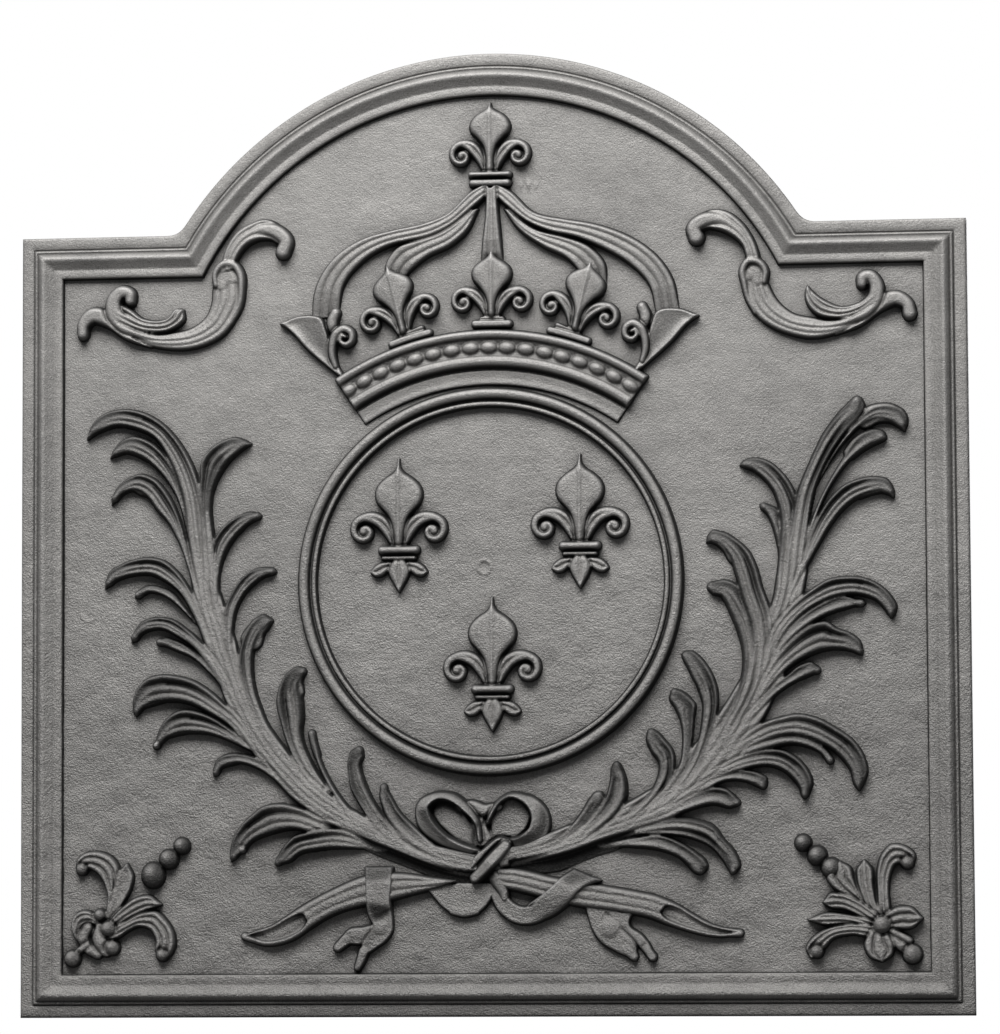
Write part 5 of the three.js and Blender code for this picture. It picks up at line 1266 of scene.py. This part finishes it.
# the balls carry painted shade with a painted highlight at the upper left
lowerSprayRight = {"box": (192, 28, 274, 112), "cell": 0.5, "steps": [
    ("blade", dict(a=[(240, 60), (240, 76), (240, 90), (243, 100), (249, 106), (258, 105), (264.4, 99),
                      (262.6, 91)],
                   b=[(250, 60), (248, 76), (249, 86), (253, 93), (257, 92), (262.6, 91)], **petal)),
    ("ball", dict(x=259, z=94.4, r=4.6, rise=6.8, black=0.6)),
    ("blade", dict(a=[(236, 58), (228, 70), (216, 76), (209, 85), (217, 95.6)],
                   b=[(241, 60), (231, 75), (226.6, 85), (224, 92), (217, 95.6)], **petal)),
    ("blade", dict(a=[(237, 58), (231, 72), (227.4, 84), (227.4, 90), (232.4, 96.6)],
                   b=[(247, 58), (241, 68), (238.6, 80), (237.6, 91), (232.4, 96.6)], **petal)),
    ("blade", dict(a=[(242, 62), (230, 71), (220, 75.6), (211, 76), (206.4, 70)],
                   b=[(240, 54), (230, 60), (220, 65), (211, 66.4), (206.4, 70)], **petal)),
    ("blade", dict(a=[(242, 58), (222, 63), (208, 64), (196.6, 59.4)],
                   b=[(238, 50), (222, 56), (208, 55.6), (196.6, 59.4)], **petal)),
    ("blade", dict(a=[(242, 56), (222, 57), (208, 54), (199, 48), (195.6, 42), (199, 35)],
                   b=[(238, 47), (224, 49.6), (213, 47), (207.4, 41), (199, 35)], **petal)),
    ("ball", dict(x=202.6, z=40, r=4.8, rise=6.6, black=0.6)),
    ("blade", dict(a=[(243, 62), (252, 67.4), (261, 67.4), (268.6, 60)],
                   b=[(245, 53), (254, 52.6), (262, 53.6), (268.6, 60)], **petal)),
    ("stroke", dict(points=[(246, 52, 3.4), (254, 48.6, 4), (259, 46, 3.6)], rise=6)),
    ("stroke", dict(points=[(247, 48, 3), (256, 42, 3.6)], rise=6)),
    ("ball", dict(x=261.6, z=38, r=6.6, rise=6.6, black=0.6)),
    ("blade", dict(a=[(236, 54), (231.6, 44), (235, 36), (243, 33)],
                   b=[(247, 52), (250.6, 44), (250, 38), (243, 33)], **petal)),
    ("ball", dict(x=243, z=56, r=6.4, rise=8.2, black=0.6)),
]}
carved("lower_spray_right", lowerSprayRight)
# each husk carries painted shade with a painted highlight at the upper left
huskStringLeft = {"box": (-228, 76, -186, 120), "cell": 0.5, "steps": [
    ("ball", dict(x=-196.3, z=107.7, r=5.7, rise=7.2, black=0.85)),
    ("ball", dict(x=-204.6, z=99.4, r=6.6, rise=7.8, black=0.85)),
    ("ball", dict(x=-214.6, z=89.4, r=7.8, rise=8.4, tall=1.1, black=0.85)),
]}
carved("husk_string_left", huskStringLeft)
# each husk carries painted shade with a painted highlight at the upper left
huskStringRight = {"box": (184, 78, 224, 118), "cell": 0.5, "steps": [
    ("ball", dict(x=194.7, z=107, r=5.6, rise=7.2, black=0.85)),
    ("ball", dict(x=203.4, z=99, r=6.4, rise=7.8, black=0.85)),
    ("ball", dict(x=212, z=91.4, r=6.6, rise=8.0, black=0.85)),
]}
carved("husk_string_right", huskStringRight)


# Camera, light and backdrop

def look(piece, target):
    direction = Vector(target) - piece.location
    piece.rotation_euler = direction.to_track_quat("-Z", "Y").to_euler()


view = {"yaw": -7.38, "pitch": 4.74, "roll": -0.27, "lens": 174.1, "sensor": 36,
        "place": (0.408, -3.102, 0.053)}


def makeCamera():
    yaw, pitch, roll = (math.radians(view[key]) for key in ("yaw", "pitch", "roll"))
    forward = Vector((math.sin(yaw) * math.cos(pitch), math.cos(yaw) * math.cos(pitch), math.sin(pitch)))
    right = forward.cross(Vector((0, 0, 1))).normalized()
    up = right.cross(forward)
    side = right * math.cos(roll) + up * math.sin(roll)
    top = up * math.cos(roll) - right * math.sin(roll)
    camera = bpy.data.objects.new("camera", bpy.data.cameras.new("camera"))
    camera.data.lens, camera.data.sensor_width = view["lens"], view["sensor"]
    camera.data.clip_start, camera.data.clip_end = 0.1, 50
    turn = Matrix((side, top, -forward)).transposed()
    camera.matrix_world = Matrix.Translation(view["place"]) @ turn.to_4x4()
    scene.collection.objects.link(camera)
    scene.camera = camera


lights = {
    "softbox": {"place": (-0.18, -1.25, 1.95), "target": (0, 0, 0.6), "size": (1.5, 1.0), "power": 60},
    # for the views from behind
    "back_fill": {"place": (0.9, 2.4, 1.5), "target": (0, 0, 0.3), "size": (1.6, 1.2), "power": 45},
}


def makeLight(name, lamp):
    data = bpy.data.lights.new(name, "AREA")
    data.shape = "RECTANGLE"
    data.size, data.size_y = lamp["size"]
    data.energy = lamp["power"]
    light = bpy.data.objects.new(name, data)
    light.location = lamp["place"]
    scene.collection.objects.link(light)
    look(light, lamp["target"])


backdrop = {"floor": (0.12, 0.12, 0.12, 1), "half": 6, "drop": 0.0005,
            "sky": (0.5, 0.52, 0.55, 1), "skyStrength": 0.2}


def makeBackdrop():
    material = bpy.data.materials.new("backdrop")
    material.use_nodes = True
    nodes, links = material.node_tree.nodes, material.node_tree.links
    nodes.clear()
    path = nodes.new("ShaderNodeLightPath")
    glow = nodes.new("ShaderNodeEmission")
    glow.inputs["Color"].default_value = (1, 1, 1, 1)
    plain = nodes.new("ShaderNodeBsdfDiffuse")
    plain.inputs["Color"].default_value = backdrop["floor"]
    mix = nodes.new("ShaderNodeMixShader")
    out = nodes.new("ShaderNodeOutputMaterial")
    links.new(path.outputs["Is Camera Ray"], mix.inputs[0])
    links.new(plain.outputs[0], mix.inputs[1])
    links.new(glow.outputs[0], mix.inputs[2])
    links.new(mix.outputs[0], out.inputs["Surface"])
    floor = bpy.data.meshes.new("floor")
    half = backdrop["half"]
    corners = [(-half, -half, 0), (half, -half, 0), (half, half, 0), (-half, half, 0)]
    floor.from_pydata(corners, [], [(0, 1, 2, 3)])
    floor.materials.append(material)
    ground = bpy.data.objects.new("floor", floor)
    ground.location.z = -backdrop["drop"]
    scene.collection.objects.link(ground)
    world = bpy.data.worlds.new("world")
    scene.world = world
    world.use_nodes = True
    tree = world.node_tree
    tree.nodes.clear()
    path = tree.nodes.new("ShaderNodeLightPath")
    seen, dim = tree.nodes.new("ShaderNodeBackground"), tree.nodes.new("ShaderNodeBackground")
    seen.inputs["Color"].default_value = (1, 1, 1, 1)
    dim.inputs["Color"].default_value = backdrop["sky"]
    dim.inputs["Strength"].default_value = backdrop["skyStrength"]
    mix, out = tree.nodes.new("ShaderNodeMixShader"), tree.nodes.new("ShaderNodeOutputWorld")
    tree.links.new(path.outputs["Is Camera Ray"], mix.inputs[0])
    tree.links.new(dim.outputs[0], mix.inputs[1])
    tree.links.new(seen.outputs[0], mix.inputs[2])
    tree.links.new(mix.outputs[0], out.inputs["Surface"])


makeCamera()
makeBackdrop()
for name, lamp in lights.items():
    makeLight(name, lamp)
print("camera, backdrop and", len(lights), "lights")
scene.view_settings.view_transform = "Standard"
